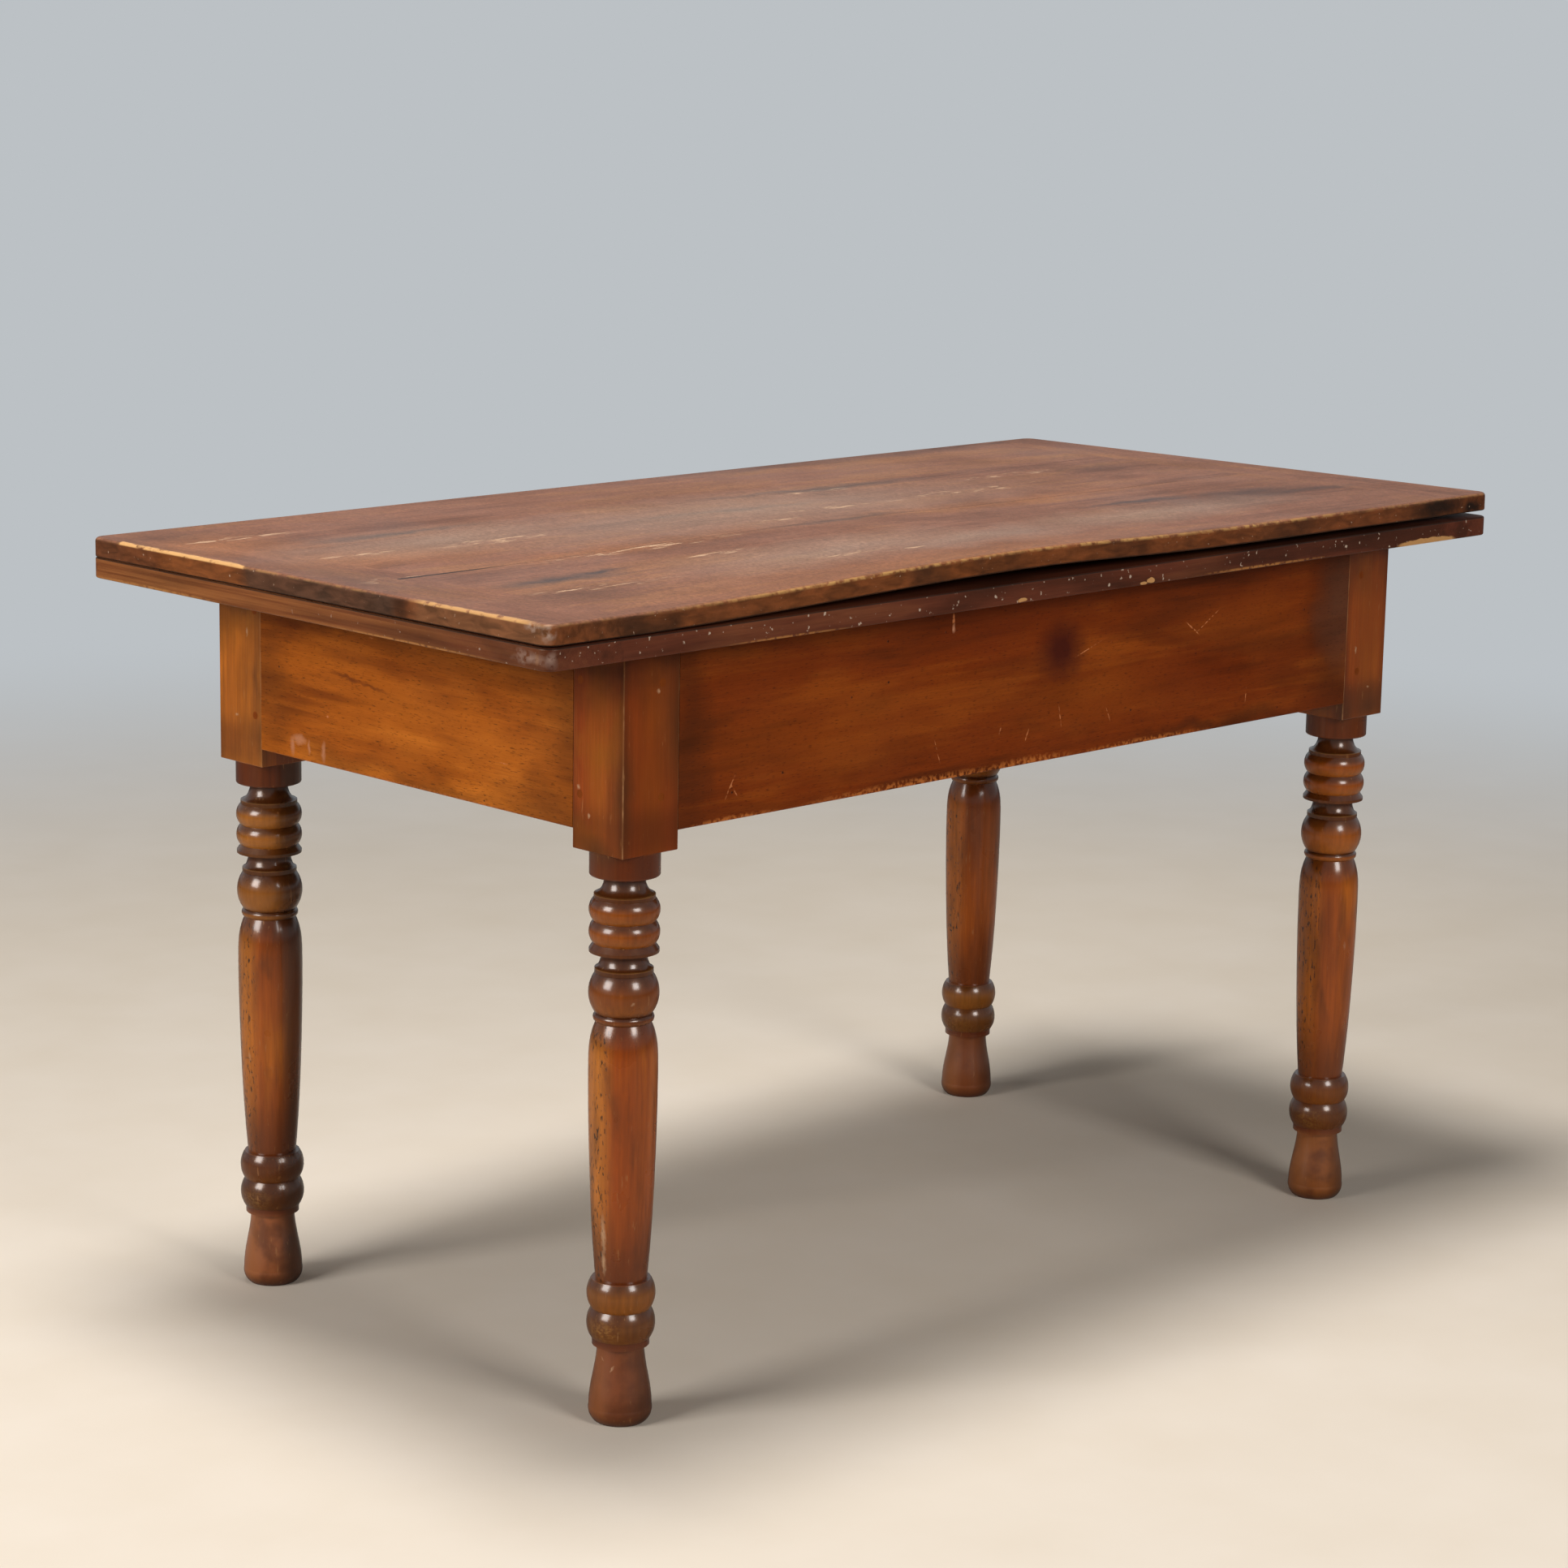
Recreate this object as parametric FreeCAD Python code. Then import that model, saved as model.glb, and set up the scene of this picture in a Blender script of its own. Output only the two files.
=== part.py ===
import FreeCAD, Part
import math
import os

os.makedirs("parts", exist_ok=True)
Vec = FreeCAD.Vector

# Fold-over swivel-top table, millimetres. Floor at z = 0, origin under the middle of the closed top.
# +X runs along the long side, -Y is the front, +Y is the hinged edge.

# Top leaves
leaf_length = 1400.0
leaf_width = 700.0
lower_leaf_thickness = 21.0
upper_leaf_thickness = 20.0
leaf_corner_radius = 14.0
worn_arris_radius = 4.0
leaf_arris_radius = 2.0
cleat_width = 90.0
lower_front_board_width = 240.0
lower_rear_board_width = 230.0
upper_front_board_width = 290.0
upper_rear_board_width = 200.0
board_joint_gap = 0.3
tongue_thickness = 7.0
tongue_length = 14.0
tongue_end_stop = 30.0

# Warp of the upper leaf: how far its free front edge has lifted, at three places along the length
lift_left = 1.5
lift_crest = 12.5
lift_right = 7.0
crest_x = -60.0
settled_x = 250.0
warp_stations = 9

# Frame, set back under the top
end_overhang = 128.0
side_overhang = 41.0
frame_height = 758.0
apron_depth = 177.0
apron_thickness = 24.0
apron_arris_radius = 2.0
leg_block_side = 70.0
block_arris_radius = 1.2
block_drop = 18.5
tenon_thickness = 10.0
tenon_length = 45.0
tenon_setback = 7.0
tenon_shoulder = 14.0
peg_radius = 4.0
peg_length = 42.0
long_peg_setback = 22.0
short_peg_setback = 10.0
peg_inset = 20.5
pivot_rail_width = 120.0
support_rail_width = 90.0
rail_thickness = 32.0
rail_housing = 10.0

# Turned leg, from the block down to the floor
collar_radius = 33.7
collar_height = 24.5
collar_round = 2.0
neck_radius = 19.2
cove_lip_radius = 29.2
cove_height = 17.9
cove_fillet_height = 4.3
bead_radius = 33.8
bead_waist_radius = 29.6
bead_height = 21.5
disc_edge_radius = 33.4
disc_slope_height = 5.4
disc_edge_height = 3.0
lower_neck_radius = 21.8
lower_cove_height = 15.8
lower_cove_lip_radius = 28.0
ball_radius = 33.7
ball_end_radius = 27.2
ball_height = 39.2
astragal_radius = 29.2
astragal_waist_radius = 26.4
astragal_height = 8.8
shaft_belly_radius = 33.2
shaft_belly_drop = 43.0
shaft_foot_radius = 24.9
ring_radius = 33.1
ring_waist_radius = 28.6
ring_height = 29.5
band_radius = 27.7
band_height = 7.0
foot_neck_radius = 22.6
foot_radius = 30.5
foot_base_radius = 25.0
foot_flare_height = 61.0
foot_round_height = 16.0

# Form of the turned curves: points along a member, each a share of its swell and a share of its height
cove_hollow = (0.06, 0.36)
cove_turn = (0.22, 0.64)
cove_flare = (0.50, 0.86)
shaft_shoulder = (0.62, 0.28)
shaft_upper_taper = (0.20, 0.45)
shaft_lower_taper = (0.50, 0.73)
flare_hollow = (0.27, 0.33)
flare_swell = (0.77, 0.68)
foot_round_turn = (0.25, 0.68)

# Swivel
pin_radius = 8.0
pin_running_clearance = 0.05
pin_head_radius = 15.0
pin_head_thickness = 4.0
pin_tail = 4.0
pivot_plate_side = 100.0
pivot_plate_thickness = 4.0
plate_screw_inset = 14.0
washer_radius = 22.0
washer_thickness = 3.0
nut_side = 28.0
nut_thickness = 12.0
sliding_gap = 0.4
stop_peg_radius = 9.0
stop_peg_drop = 28.0
stop_peg_depth = 14.0

# Hinges
hinge_length = 64.0
hinge_end_inset = 220.0
flap_depth = 34.0
flap_thickness = 2.5
flap_sink = 0.1
knuckle_radius = 4.0
knuckle_gap = 0.3
hinge_pin_radius = 2.0
hinge_edge_offset = 0.8
hinge_screws_per_flap = 3
hinge_screw_edge = 9.0
hinge_screw_near = 15.3
hinge_screw_far = 23.8

# Wood screws with countersunk heads
screw_head_radius = 4.2
screw_head_height = 2.2
screw_shank_radius = 2.0
screw_length = 15.0

# Levels and lines that follow from the sizes above
frame_length = leaf_length - 2 * end_overhang
frame_width = leaf_width - 2 * side_overhang
fold_z = frame_height + lower_leaf_thickness
hinge_edge_y = leaf_width / 2
hinge_axis_y = hinge_edge_y + hinge_edge_offset
board_end_x = leaf_length / 2 - cleat_width
apron_bottom = frame_height - apron_depth
block_bottom = apron_bottom - block_drop
block_x = frame_length / 2 - leg_block_side
block_y = frame_width / 2 - leg_block_side
rail_bottom = frame_height - rail_thickness
pivot_x = leaf_width / 4
pivot_y = leaf_width / 4
SIDES = {"left": -1, "right": 1}
ENDS = {"front": -1, "back": 1}

parts = {}


# Shared shapes

def box(low, high):
    size = [b - a for a, b in zip(low, high)]
    return Part.makeBox(*size, Vec(*low))


def span(a, b):
    return min(a, b), max(a, b)


def rounded_wire(corners, place):
    """Closed outline through flat corners (a, b, radius), each corner rounded by its radius."""
    edges = []
    starts = []
    ends = []
    count = len(corners)
    for i, (a, b, radius) in enumerate(corners):
        here = Vec(a, b, 0)
        back = (Vec(*corners[i - 1][:2], 0) - here).normalize()
        ahead = (Vec(*corners[(i + 1) % count][:2], 0) - here).normalize()
        half = back.getAngle(ahead) / 2
        reach = radius / math.tan(half)
        starts.append(here + back * reach)
        ends.append(here + ahead * reach)
        if radius > 0:
            middle = here + (back + ahead).normalize() * (radius / math.sin(half) - radius)
            arc = Part.Arc(*[place(p.x, p.y) for p in (starts[i], middle, ends[i])])
            edges.append(arc.toShape())
    for i in range(count):
        p, q = ends[i], starts[(i + 1) % count]
        edges.append(Part.LineSegment(place(p.x, p.y), place(q.x, q.y)).toShape())
    return Part.Wire(Part.__sortEdges__(edges))


def screw(tip_direction, head_centre):
    """Countersunk screw, its head's flat face centred on head_centre."""
    head = Part.makeCone(screw_head_radius, screw_shank_radius, screw_head_height, head_centre, tip_direction)
    neck = head_centre + tip_direction * screw_head_height
    shank = Part.makeCylinder(screw_shank_radius, screw_length - screw_head_height, neck, tip_direction)
    return head.fuse(shank).removeSplitter()


def cut_all(shape, tools):
    for tool in tools:
        shape = shape.cut(tool)
    return shape


# Legs

def swelling(start, end, height, shares):
    """Points (radius, drop) of a turned curve that goes from one radius to another over a height."""
    points = [(start + (end - start) * swell, height * fall) for swell, fall in shares]
    return points + [(end, height)]


def bead(widest, end, height):
    return "arc", [(widest, height / 2), (end, height)]


def step(radius, height=0.0):
    return "line", [(radius, height)]


def cove(narrowest, lip_radius, height):
    return "curve", swelling(narrowest, lip_radius, height, [cove_hollow, cove_turn, cove_flare])


def rounded_end(radius, rounding):
    """Quarter round that turns a member's side in to its lower face."""
    part = math.sqrt(0.5)
    return "arc", [(radius - rounding * (1 - part), rounding * part), (radius - rounding, rounding)]


def shaft(height):
    shoulder = swelling(astragal_waist_radius, shaft_belly_radius, shaft_belly_drop, [shaft_shoulder])
    taper_shares = [shaft_upper_taper, shaft_lower_taper]
    taper = swelling(shaft_belly_radius, shaft_foot_radius, height - shaft_belly_drop, taper_shares)
    return "curve", shoulder + [(radius, shaft_belly_drop + drop) for radius, drop in taper]


def turned_members():
    """Members of the turning from the block to the floor, each a kind of line and its points."""
    above = [
        step(collar_radius), step(collar_radius, collar_height - collar_round),
        rounded_end(collar_radius, collar_round), step(neck_radius),
        cove(neck_radius, cove_lip_radius, cove_height), step(cove_lip_radius, cove_fillet_height),
        step(bead_waist_radius), bead(bead_radius, bead_waist_radius, bead_height),
        bead(bead_radius, bead_waist_radius, bead_height),
        step(disc_edge_radius, disc_slope_height), step(disc_edge_radius, disc_edge_height),
        step(lower_neck_radius), cove(lower_neck_radius, lower_cove_lip_radius, lower_cove_height),
        step(lower_cove_lip_radius, cove_fillet_height),
        step(ball_end_radius), bead(ball_radius, ball_end_radius, ball_height),
        step(astragal_waist_radius), bead(astragal_radius, astragal_waist_radius, astragal_height),
    ]
    below = [
        step(ring_waist_radius),
        bead(ring_radius, ring_waist_radius, ring_height), bead(ring_radius, ring_waist_radius, ring_height),
        step(band_radius), step(band_radius, band_height), step(foot_neck_radius),
        ("curve", swelling(foot_neck_radius, foot_radius, foot_flare_height, [flare_hollow, flare_swell])),
        ("arc", swelling(foot_radius, foot_base_radius, foot_round_height, [foot_round_turn])),
    ]
    used_height = sum(points[-1][1] for kind, points in above + below)
    return above + [shaft(block_bottom - used_height)] + below


def turned_profile():
    """Outline of the turning from its axis at the block, down the members, back to the axis at the floor."""
    axis_top = Vec(0, 0, block_bottom)
    axis_foot = Vec(0, 0, 0)
    edges = []
    pen = axis_top
    for kind, points in turned_members():
        places = [pen] + [Vec(radius, 0, pen.z - drop) for radius, drop in points]
        pen = places[-1]
        if kind == "curve":
            line = Part.BSplineCurve()
            line.interpolate(places)
        else:
            line = Part.Arc(*places) if kind == "arc" else Part.LineSegment(*places)
        edges.append(line.toShape())
    edges.append(Part.LineSegment(pen, axis_foot).toShape())
    edges.append(Part.LineSegment(axis_foot, axis_top).toShape())
    return Part.Wire(edges)


def leg_blank():
    half = leg_block_side / 2
    block = box((-half, -half, block_bottom), (half, half, frame_height))
    arrises = [e for e in block.Edges if e.CenterOfMass.z < frame_height]
    block = block.makeFillet(block_arris_radius, arrises)
    turning = Part.Face(turned_profile()).revolve(Vec(0, 0, 0), Vec(0, 0, 1), 360)
    return block.fuse(turning).removeSplitter()


# Frame joints: a tenon at each end of each apron, and two pegs through each tenon

tenon_bottom = apron_bottom + tenon_shoulder
tenon_top = frame_height - tenon_shoulder
peg_levels = (tenon_bottom + peg_inset, tenon_top - peg_inset)


def long_tenon(sx, sy):
    x = span(sx * block_x, sx * (block_x + tenon_length))
    outer = frame_width / 2 - tenon_setback
    y = span(sy * outer, sy * (outer - tenon_thickness))
    return box((x[0], y[0], tenon_bottom), (x[1], y[1], tenon_top))


def short_tenon(sx, sy):
    y = span(sy * block_y, sy * (block_y + tenon_length))
    outer = frame_length / 2 - tenon_setback
    x = span(sx * outer, sx * (outer - tenon_thickness))
    return box((x[0], y[0], tenon_bottom), (x[1], y[1], tenon_top))


def corner_pegs(sx, sy):
    pegs = []
    for z in peg_levels:
        on_long = Vec(sx * (block_x + long_peg_setback), sy * frame_width / 2, z)
        on_short = Vec(sx * frame_length / 2, sy * (block_y + short_peg_setback), z)
        pegs.append(Part.makeCylinder(peg_radius, peg_length, on_long, Vec(0, -sy, 0)))
        pegs.append(Part.makeCylinder(peg_radius, peg_length, on_short, Vec(-sx, 0, 0)))
    return pegs


def rail(x_middle, width):
    reach = frame_width / 2 - apron_thickness + rail_housing
    return box((x_middle - width / 2, -reach, rail_bottom), (x_middle + width / 2, reach, frame_height))


def soften_bottom(apron, outer):
    """Round the lower outside edge of an apron."""
    outside = [e for e in apron.Edges if outer(e.CenterOfMass)]
    lowest = [e for e in outside if abs(e.CenterOfMass.z - apron_bottom) < 0.001]
    return apron.makeFillet(apron_arris_radius, lowest)


def build_frame():
    blank = leg_blank()
    rails = {"pivot_rail": rail(pivot_x, pivot_rail_width),
             "support_rail": rail(-pivot_x, support_rail_width)}
    all_pegs = []
    for end, sy in ENDS.items():
        for side, sx in SIDES.items():
            x, y = sx * (frame_length - leg_block_side) / 2, sy * (frame_width - leg_block_side) / 2
            pegs = corner_pegs(sx, sy)
            mortises = [long_tenon(sx, sy), short_tenon(sx, sy)]
            parts["leg_%s_%s" % (end, side)] = cut_all(blank.translated(Vec(x, y, 0)), mortises + pegs)
            all_pegs += pegs
    for end, sy in ENDS.items():
        y = span(sy * frame_width / 2, sy * (frame_width / 2 - apron_thickness))
        apron = box((-block_x, y[0], apron_bottom), (block_x, y[1], frame_height))
        apron = soften_bottom(apron, lambda p: abs(p.y - sy * frame_width / 2) < 0.001)
        apron = apron.fuse([long_tenon(sx, sy) for sx in SIDES.values()])
        parts["apron_" + end] = cut_all(apron, all_pegs + list(rails.values()))
    for side, sx in SIDES.items():
        x = span(sx * frame_length / 2, sx * (frame_length / 2 - apron_thickness))
        apron = box((x[0], -block_y, apron_bottom), (x[1], block_y, frame_height))
        apron = soften_bottom(apron, lambda p: abs(p.x - sx * frame_length / 2) < 0.001)
        apron = apron.fuse([short_tenon(sx, sy) for sy in ENDS.values()])
        parts["apron_" + side] = cut_all(apron, all_pegs)
    bore_radius = pin_radius + pin_running_clearance
    bore = Part.makeCylinder(bore_radius, rail_thickness, Vec(pivot_x, pivot_y, rail_bottom))
    rails["pivot_rail"] = rails["pivot_rail"].cut(bore)
    parts.update(rails)
    parts["tenon_pegs"] = Part.makeCompound(all_pegs)


# Leaves

def front_lift(x):
    """Height of the upper leaf's free edge above the lower leaf, at a place along the length."""
    if x < crest_x:
        rise = (x + board_end_x) / (crest_x + board_end_x)
        start = lift_left
    else:
        rise = max(0.0, (settled_x - x) / (settled_x - crest_x))
        start = lift_right
    return start + (lift_crest - start) * (1 - math.cos(math.pi * rise)) / 2


def lift_angle(x):
    return math.degrees(math.atan2(front_lift(x), leaf_width))


def tilt(shape, angle):
    """Turn a shape about the line along the hinged edge, its front going up."""
    shape.rotate(Vec(0, hinge_edge_y, fold_z), Vec(-1, 0, 0), angle)
    return shape


def plank_section(x, y_front, y_rear, z_low, z_high, top_radius):
    """Cross-section of one board, rounded where it forms the leaf's long edge."""
    outer_front = y_front <= -leaf_width / 2
    outer_rear = y_rear >= leaf_width / 2
    corners = [
        (y_front, z_low, leaf_arris_radius if outer_front else 0.0),
        (y_rear, z_low, leaf_arris_radius if outer_rear else 0.0),
        (y_rear, z_high, top_radius if outer_rear else 0.0),
        (y_front, z_high, top_radius if outer_front else 0.0),
    ]
    return rounded_wire(corners, lambda a, b: Vec(x, a, b))


def tongue(sx, y_front, y_rear, z_low, thickness):
    limit = leaf_width / 2 - tongue_end_stop
    x = span(sx * board_end_x, sx * (board_end_x + tongue_length))
    middle = z_low + thickness / 2
    half = tongue_thickness / 2
    return box((x[0], max(y_front, -limit), middle - half), (x[1], min(y_rear, limit), middle + half))


def board_lines(front_width, rear_width):
    half = leaf_width / 2
    gap = board_joint_gap / 2
    joint_front = -half + front_width
    joint_rear = half - rear_width
    return {"front": (-half, joint_front - gap), "middle": (joint_front + gap, joint_rear - gap),
            "rear": (joint_rear + gap, half)}


def flat_board(y_front, y_rear):
    section = plank_section(-board_end_x, y_front, y_rear, frame_height, fold_z, leaf_arris_radius)
    board = Part.Face(section).extrude(Vec(2 * board_end_x, 0, 0))
    tongues = [tongue(sx, y_front, y_rear, frame_height, lower_leaf_thickness) for sx in SIDES.values()]
    return board.fuse(tongues)


def warped_board(y_front, y_rear):
    top = fold_z + upper_leaf_thickness
    sections = []
    for i in range(warp_stations):
        x = -board_end_x + 2 * board_end_x * i / (warp_stations - 1)
        section = plank_section(x, y_front, y_rear, fold_z, top, worn_arris_radius)
        sections.append(tilt(section, lift_angle(x)))
    board = Part.makeLoft(sections, True, False)
    tongues = []
    for sx in SIDES.values():
        piece = tongue(sx, y_front, y_rear, fold_z, upper_leaf_thickness)
        tongues.append(tilt(piece, lift_angle(sx * board_end_x)))
    return board.fuse(tongues)


def cleat(sx, z_low, thickness, top_radius):
    """Board across the end of a leaf, grooved for the tongues of the long boards."""
    half = leaf_width / 2
    inner, outer = sx * board_end_x, sx * leaf_length / 2
    corners = [(inner, -half, 0.0), (outer, -half, leaf_corner_radius),
               (outer, half, leaf_corner_radius), (inner, half, 0.0)]
    outline = rounded_wire(corners, lambda a, b: Vec(a, b, z_low))
    plank = Part.Face(outline).extrude(Vec(0, 0, thickness))

    def rim(z):
        on_level = [e for e in plank.Edges if all(abs(v.Z - z) < 0.001 for v in e.Vertexes)]
        return [e for e in on_level if abs(e.CenterOfMass.x - inner) > 0.001]

    low, high = rim(z_low), rim(z_low + thickness)
    plank = plank.makeFillet(top_radius, high)
    kept = [e.CenterOfMass for e in low]
    low = [e for e in plank.Edges if any(e.CenterOfMass.distanceToPoint(p) < 0.001 for p in kept)]
    plank = plank.makeFillet(leaf_arris_radius, low)
    return plank.cut(tongue(sx, -half, half, z_low, thickness))


# Hinges, with two knuckles on the lower flap and one between them on the upper flap

hinge_reach = leaf_length / 2 - hinge_end_inset
hinge_x = {"left": -hinge_reach, "centre": 0.0, "right": hinge_reach}
knuckle_length = hinge_length / 3


def along_axis(x_middle, length, radius):
    return Part.makeCylinder(radius, length, Vec(x_middle - length / 2, hinge_axis_y, fold_z), Vec(1, 0, 0))


def knuckles(x_middle, flap, radius, extra):
    places = (-knuckle_length, knuckle_length) if flap == "lower" else (0.0,)
    return [along_axis(x_middle + dx, knuckle_length + extra, radius) for dx in places]


def flap_levels(flap):
    face = fold_z - flap_sink if flap == "lower" else fold_z + flap_sink
    return span(face, face - flap_thickness if flap == "lower" else face + flap_thickness)


def flap_screws(x_middle, flap):
    low, high = flap_levels(flap)
    head_z, direction = (high, Vec(0, 0, -1)) if flap == "lower" else (low, Vec(0, 0, 1))
    reach = hinge_length / 2 - hinge_screw_edge
    screws = []
    for i in range(hinge_screws_per_flap):
        x = x_middle - reach + 2 * reach * i / (hinge_screws_per_flap - 1)
        back = hinge_screw_near if i % 2 else hinge_screw_far
        screws.append(screw(direction, Vec(x, hinge_edge_y - back, head_z)))
    return screws


def flap_plate(x_middle, flap):
    low, high = flap_levels(flap)
    half = hinge_length / 2
    return box((x_middle - half, hinge_edge_y - flap_depth, low), (x_middle + half, hinge_axis_y, high))


def hinge_flap(x_middle, flap):
    other = "upper" if flap == "lower" else "lower"
    body = flap_plate(x_middle, flap).fuse(knuckles(x_middle, flap, knuckle_radius, -knuckle_gap))
    body = cut_all(body, knuckles(x_middle, other, knuckle_radius + knuckle_gap, knuckle_gap))
    hole = hinge_pin_radius + (pin_running_clearance if flap == "upper" else 0.0)
    body = body.cut(along_axis(x_middle, hinge_length + knuckle_gap, hole))
    return cut_all(body, flap_screws(x_middle, flap)).removeSplitter()


def hinge_pocket(x_middle, flap):
    """Room in a leaf for its flap, the screws and the rolled knuckles."""
    low, high = flap_levels(flap)
    half = hinge_length / 2
    z = (low, fold_z + flap_thickness) if flap == "lower" else (fold_z - flap_thickness, high)
    recess = box((x_middle - half, hinge_edge_y - flap_depth, z[0]), (x_middle + half, hinge_axis_y, z[1]))
    roll = along_axis(x_middle, hinge_length + 2 * knuckle_gap, knuckle_radius + 2 * knuckle_gap)
    return [recess, roll] + flap_screws(x_middle, flap)


# Swivel

def plate_screws():
    reach = pivot_plate_side / 2 - plate_screw_inset
    face_z = frame_height + sliding_gap
    screws = []
    for sx in SIDES.values():
        for sy in ENDS.values():
            screws.append(screw(Vec(0, 0, 1), Vec(pivot_x + sx * reach, pivot_y + sy * reach, face_z)))
    return screws


def round_bar(radius, z_low, z_high, x, y):
    return Part.makeCylinder(radius, z_high - z_low, Vec(x, y, z_low))


def square_bar(side, z_low, z_high):
    half = side / 2
    return box((pivot_x - half, pivot_y - half, z_low), (pivot_x + half, pivot_y + half, z_high))


def build_swivel():
    """Pivot hardware under the lower leaf. Returns the pockets that it needs in the boards."""
    plate_low = frame_height + sliding_gap
    plate_high = plate_low + pivot_plate_thickness
    head_high = plate_high + pin_head_thickness
    washer_high = rail_bottom - sliding_gap
    nut_high = washer_high - washer_thickness
    nut_low = nut_high - nut_thickness
    shank = round_bar(pin_radius, nut_low - pin_tail, plate_high, pivot_x, pivot_y)
    head = round_bar(pin_head_radius, plate_high, head_high, pivot_x, pivot_y)
    parts["pivot_pin"] = shank.fuse(head).removeSplitter()
    plate = square_bar(pivot_plate_side, plate_low, plate_high)
    parts["pivot_plate"] = cut_all(plate, [shank] + plate_screws())
    parts["pivot_washer"] = round_bar(washer_radius, nut_high, washer_high, pivot_x, pivot_y).cut(shank)
    parts["pivot_nut"] = square_bar(nut_side, nut_low, nut_high).cut(shank)
    parts["pivot_plate_screws"] = Part.makeCompound(plate_screws())
    stand_off = pivot_rail_width / 2 + stop_peg_radius + sliding_gap
    stop = round_bar(stop_peg_radius, frame_height - stop_peg_drop, frame_height + stop_peg_depth,
                     pivot_x - stand_off, pivot_y + stand_off)
    parts["stop_peg"] = stop
    pocket = square_bar(pivot_plate_side, frame_height, plate_high)
    return [pocket, head, stop] + plate_screws()


def build_leaf(flap, lines, board, cleat_low, thickness, top_radius, pockets):
    for x_middle in hinge_x.values():
        pockets = pockets + hinge_pocket(x_middle, flap)
    for name, (y_front, y_rear) in lines.items():
        parts["%s_board_%s" % (flap, name)] = cut_all(board(y_front, y_rear), pockets)
    for side, sx in SIDES.items():
        end_piece = cleat(sx, cleat_low, thickness, top_radius)
        if flap == "upper":
            end_piece = tilt(end_piece, lift_angle(sx * board_end_x))
        parts["%s_cleat_%s" % (flap, side)] = end_piece
    for side, x_middle in hinge_x.items():
        parts["hinge_%s_%s_flap" % (side, flap)] = hinge_flap(x_middle, flap)
    screws = [s for x_middle in hinge_x.values() for s in flap_screws(x_middle, flap)]
    parts["hinge_%s_screws" % flap] = Part.makeCompound(screws)


build_frame()
swivel_pockets = build_swivel()
lower_lines = board_lines(lower_front_board_width, lower_rear_board_width)
upper_lines = board_lines(upper_front_board_width, upper_rear_board_width)
build_leaf("lower", lower_lines, flat_board, frame_height, lower_leaf_thickness, leaf_arris_radius,
           swivel_pockets)
build_leaf("upper", upper_lines, warped_board, fold_z, upper_leaf_thickness, worn_arris_radius, [])
for side, x_middle in hinge_x.items():
    parts["hinge_%s_pin" % side] = along_axis(x_middle, hinge_length - knuckle_gap, hinge_pin_radius)

for name, shape in parts.items():
    shape.exportStep("parts/%s.step" % name)
    print(name, len(shape.Solids), shape.isValid(), round(shape.Volume))
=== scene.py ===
import bmesh
import bpy
import math
from mathutils import Matrix, Vector
from types import SimpleNamespace


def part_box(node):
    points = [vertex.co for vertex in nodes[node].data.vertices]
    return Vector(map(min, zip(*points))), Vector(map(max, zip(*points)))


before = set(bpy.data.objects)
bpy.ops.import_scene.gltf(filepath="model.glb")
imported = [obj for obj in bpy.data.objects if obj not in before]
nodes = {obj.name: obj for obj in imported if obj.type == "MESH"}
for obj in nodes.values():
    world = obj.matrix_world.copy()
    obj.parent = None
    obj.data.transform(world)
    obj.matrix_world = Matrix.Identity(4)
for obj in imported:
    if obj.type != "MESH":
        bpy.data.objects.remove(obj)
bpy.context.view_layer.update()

MM = 0.001
ALONG_X, ALONG_Y, ALONG_Z = 0, 1, 2

# Old shellac reflects with its own amber colour, and its coat is no longer quite clear
AMBER = "ffcda0"
COAT_ROUGHNESS = 0.19
WHOLE_COAT = 1.0

# Sockets of the Mix node that blend colours
UNDER, OVER, LAID = 6, 7, 2

# Places on the table that the finishes refer to, in metres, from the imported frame
LEAF_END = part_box("lower_cleat_right")[1].x
FRAME_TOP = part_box("apron_front")[1].z
APRON_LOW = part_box("apron_front")[0].z
APRON_BACK = -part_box("apron_front")[1].y
END_FACE = -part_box("apron_left")[0].x
END_BACK = -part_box("apron_left")[1].x
BLOCK_INNER_X = -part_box("leg_front_left")[1].x
HALF_BLOCK = (END_FACE - BLOCK_INNER_X) / 2
FRONT_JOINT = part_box("upper_board_front")[1].y

# Levels of the turned members above the floor, in millimetres
BLOCK_LOW = 562.5
COLLAR_LOW, COVE_LOW = 538.0, 515.8
DISC_HIGH, LOWER_COVE_LOW = 467.6, 444.3
SHAFT_HIGH, SHAFT_LOW = 396.3, 143.0
LOW_RING_HIGH, RINGS_LOW = 108.5, 84.0
FOOT_HIGH = 77.0

# Dirt on the shaft, where it begins and where it is full: up to the beads, and down towards the rings
SHOULDER_LOW, SHOULDER_HIGH = 362.0, 396.0
SHAFT_DIRT_HIGH, SHAFT_DIRT_LOW = 240.0, 150.0

# Painted highlight line on the lip of each cove, above the cove's low edge
LIP_LOW, LIP_HIGH = 3.6, 4.8

# Painted shade under the leaf: how far below the frame's top it begins and where it is full, in millimetres
APRON_SHADE_LOW, APRON_SHADE_HIGH = 62, 6
BLOCK_SHADE_LOW, BLOCK_SHADE_HIGH = 75, 12

# First seeds of the grain. Patterns with a seed of their own run on from board to board.
FRONT_SEED, UPPER_SEED, END_SEED, LOWER_SEED, PEG_SEED, LEG_SEED, RAIL_SEED = 3, 5, 19, 27, 31, 41, 60
DASH_SEED, HAIR_SEED, END_LINE_SEED, MOTTLE_SEED, SPECKLE_SEED, DIRT_SEED = 10, 71, 77, 83, 87, 91


# Helpers for the materials

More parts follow.
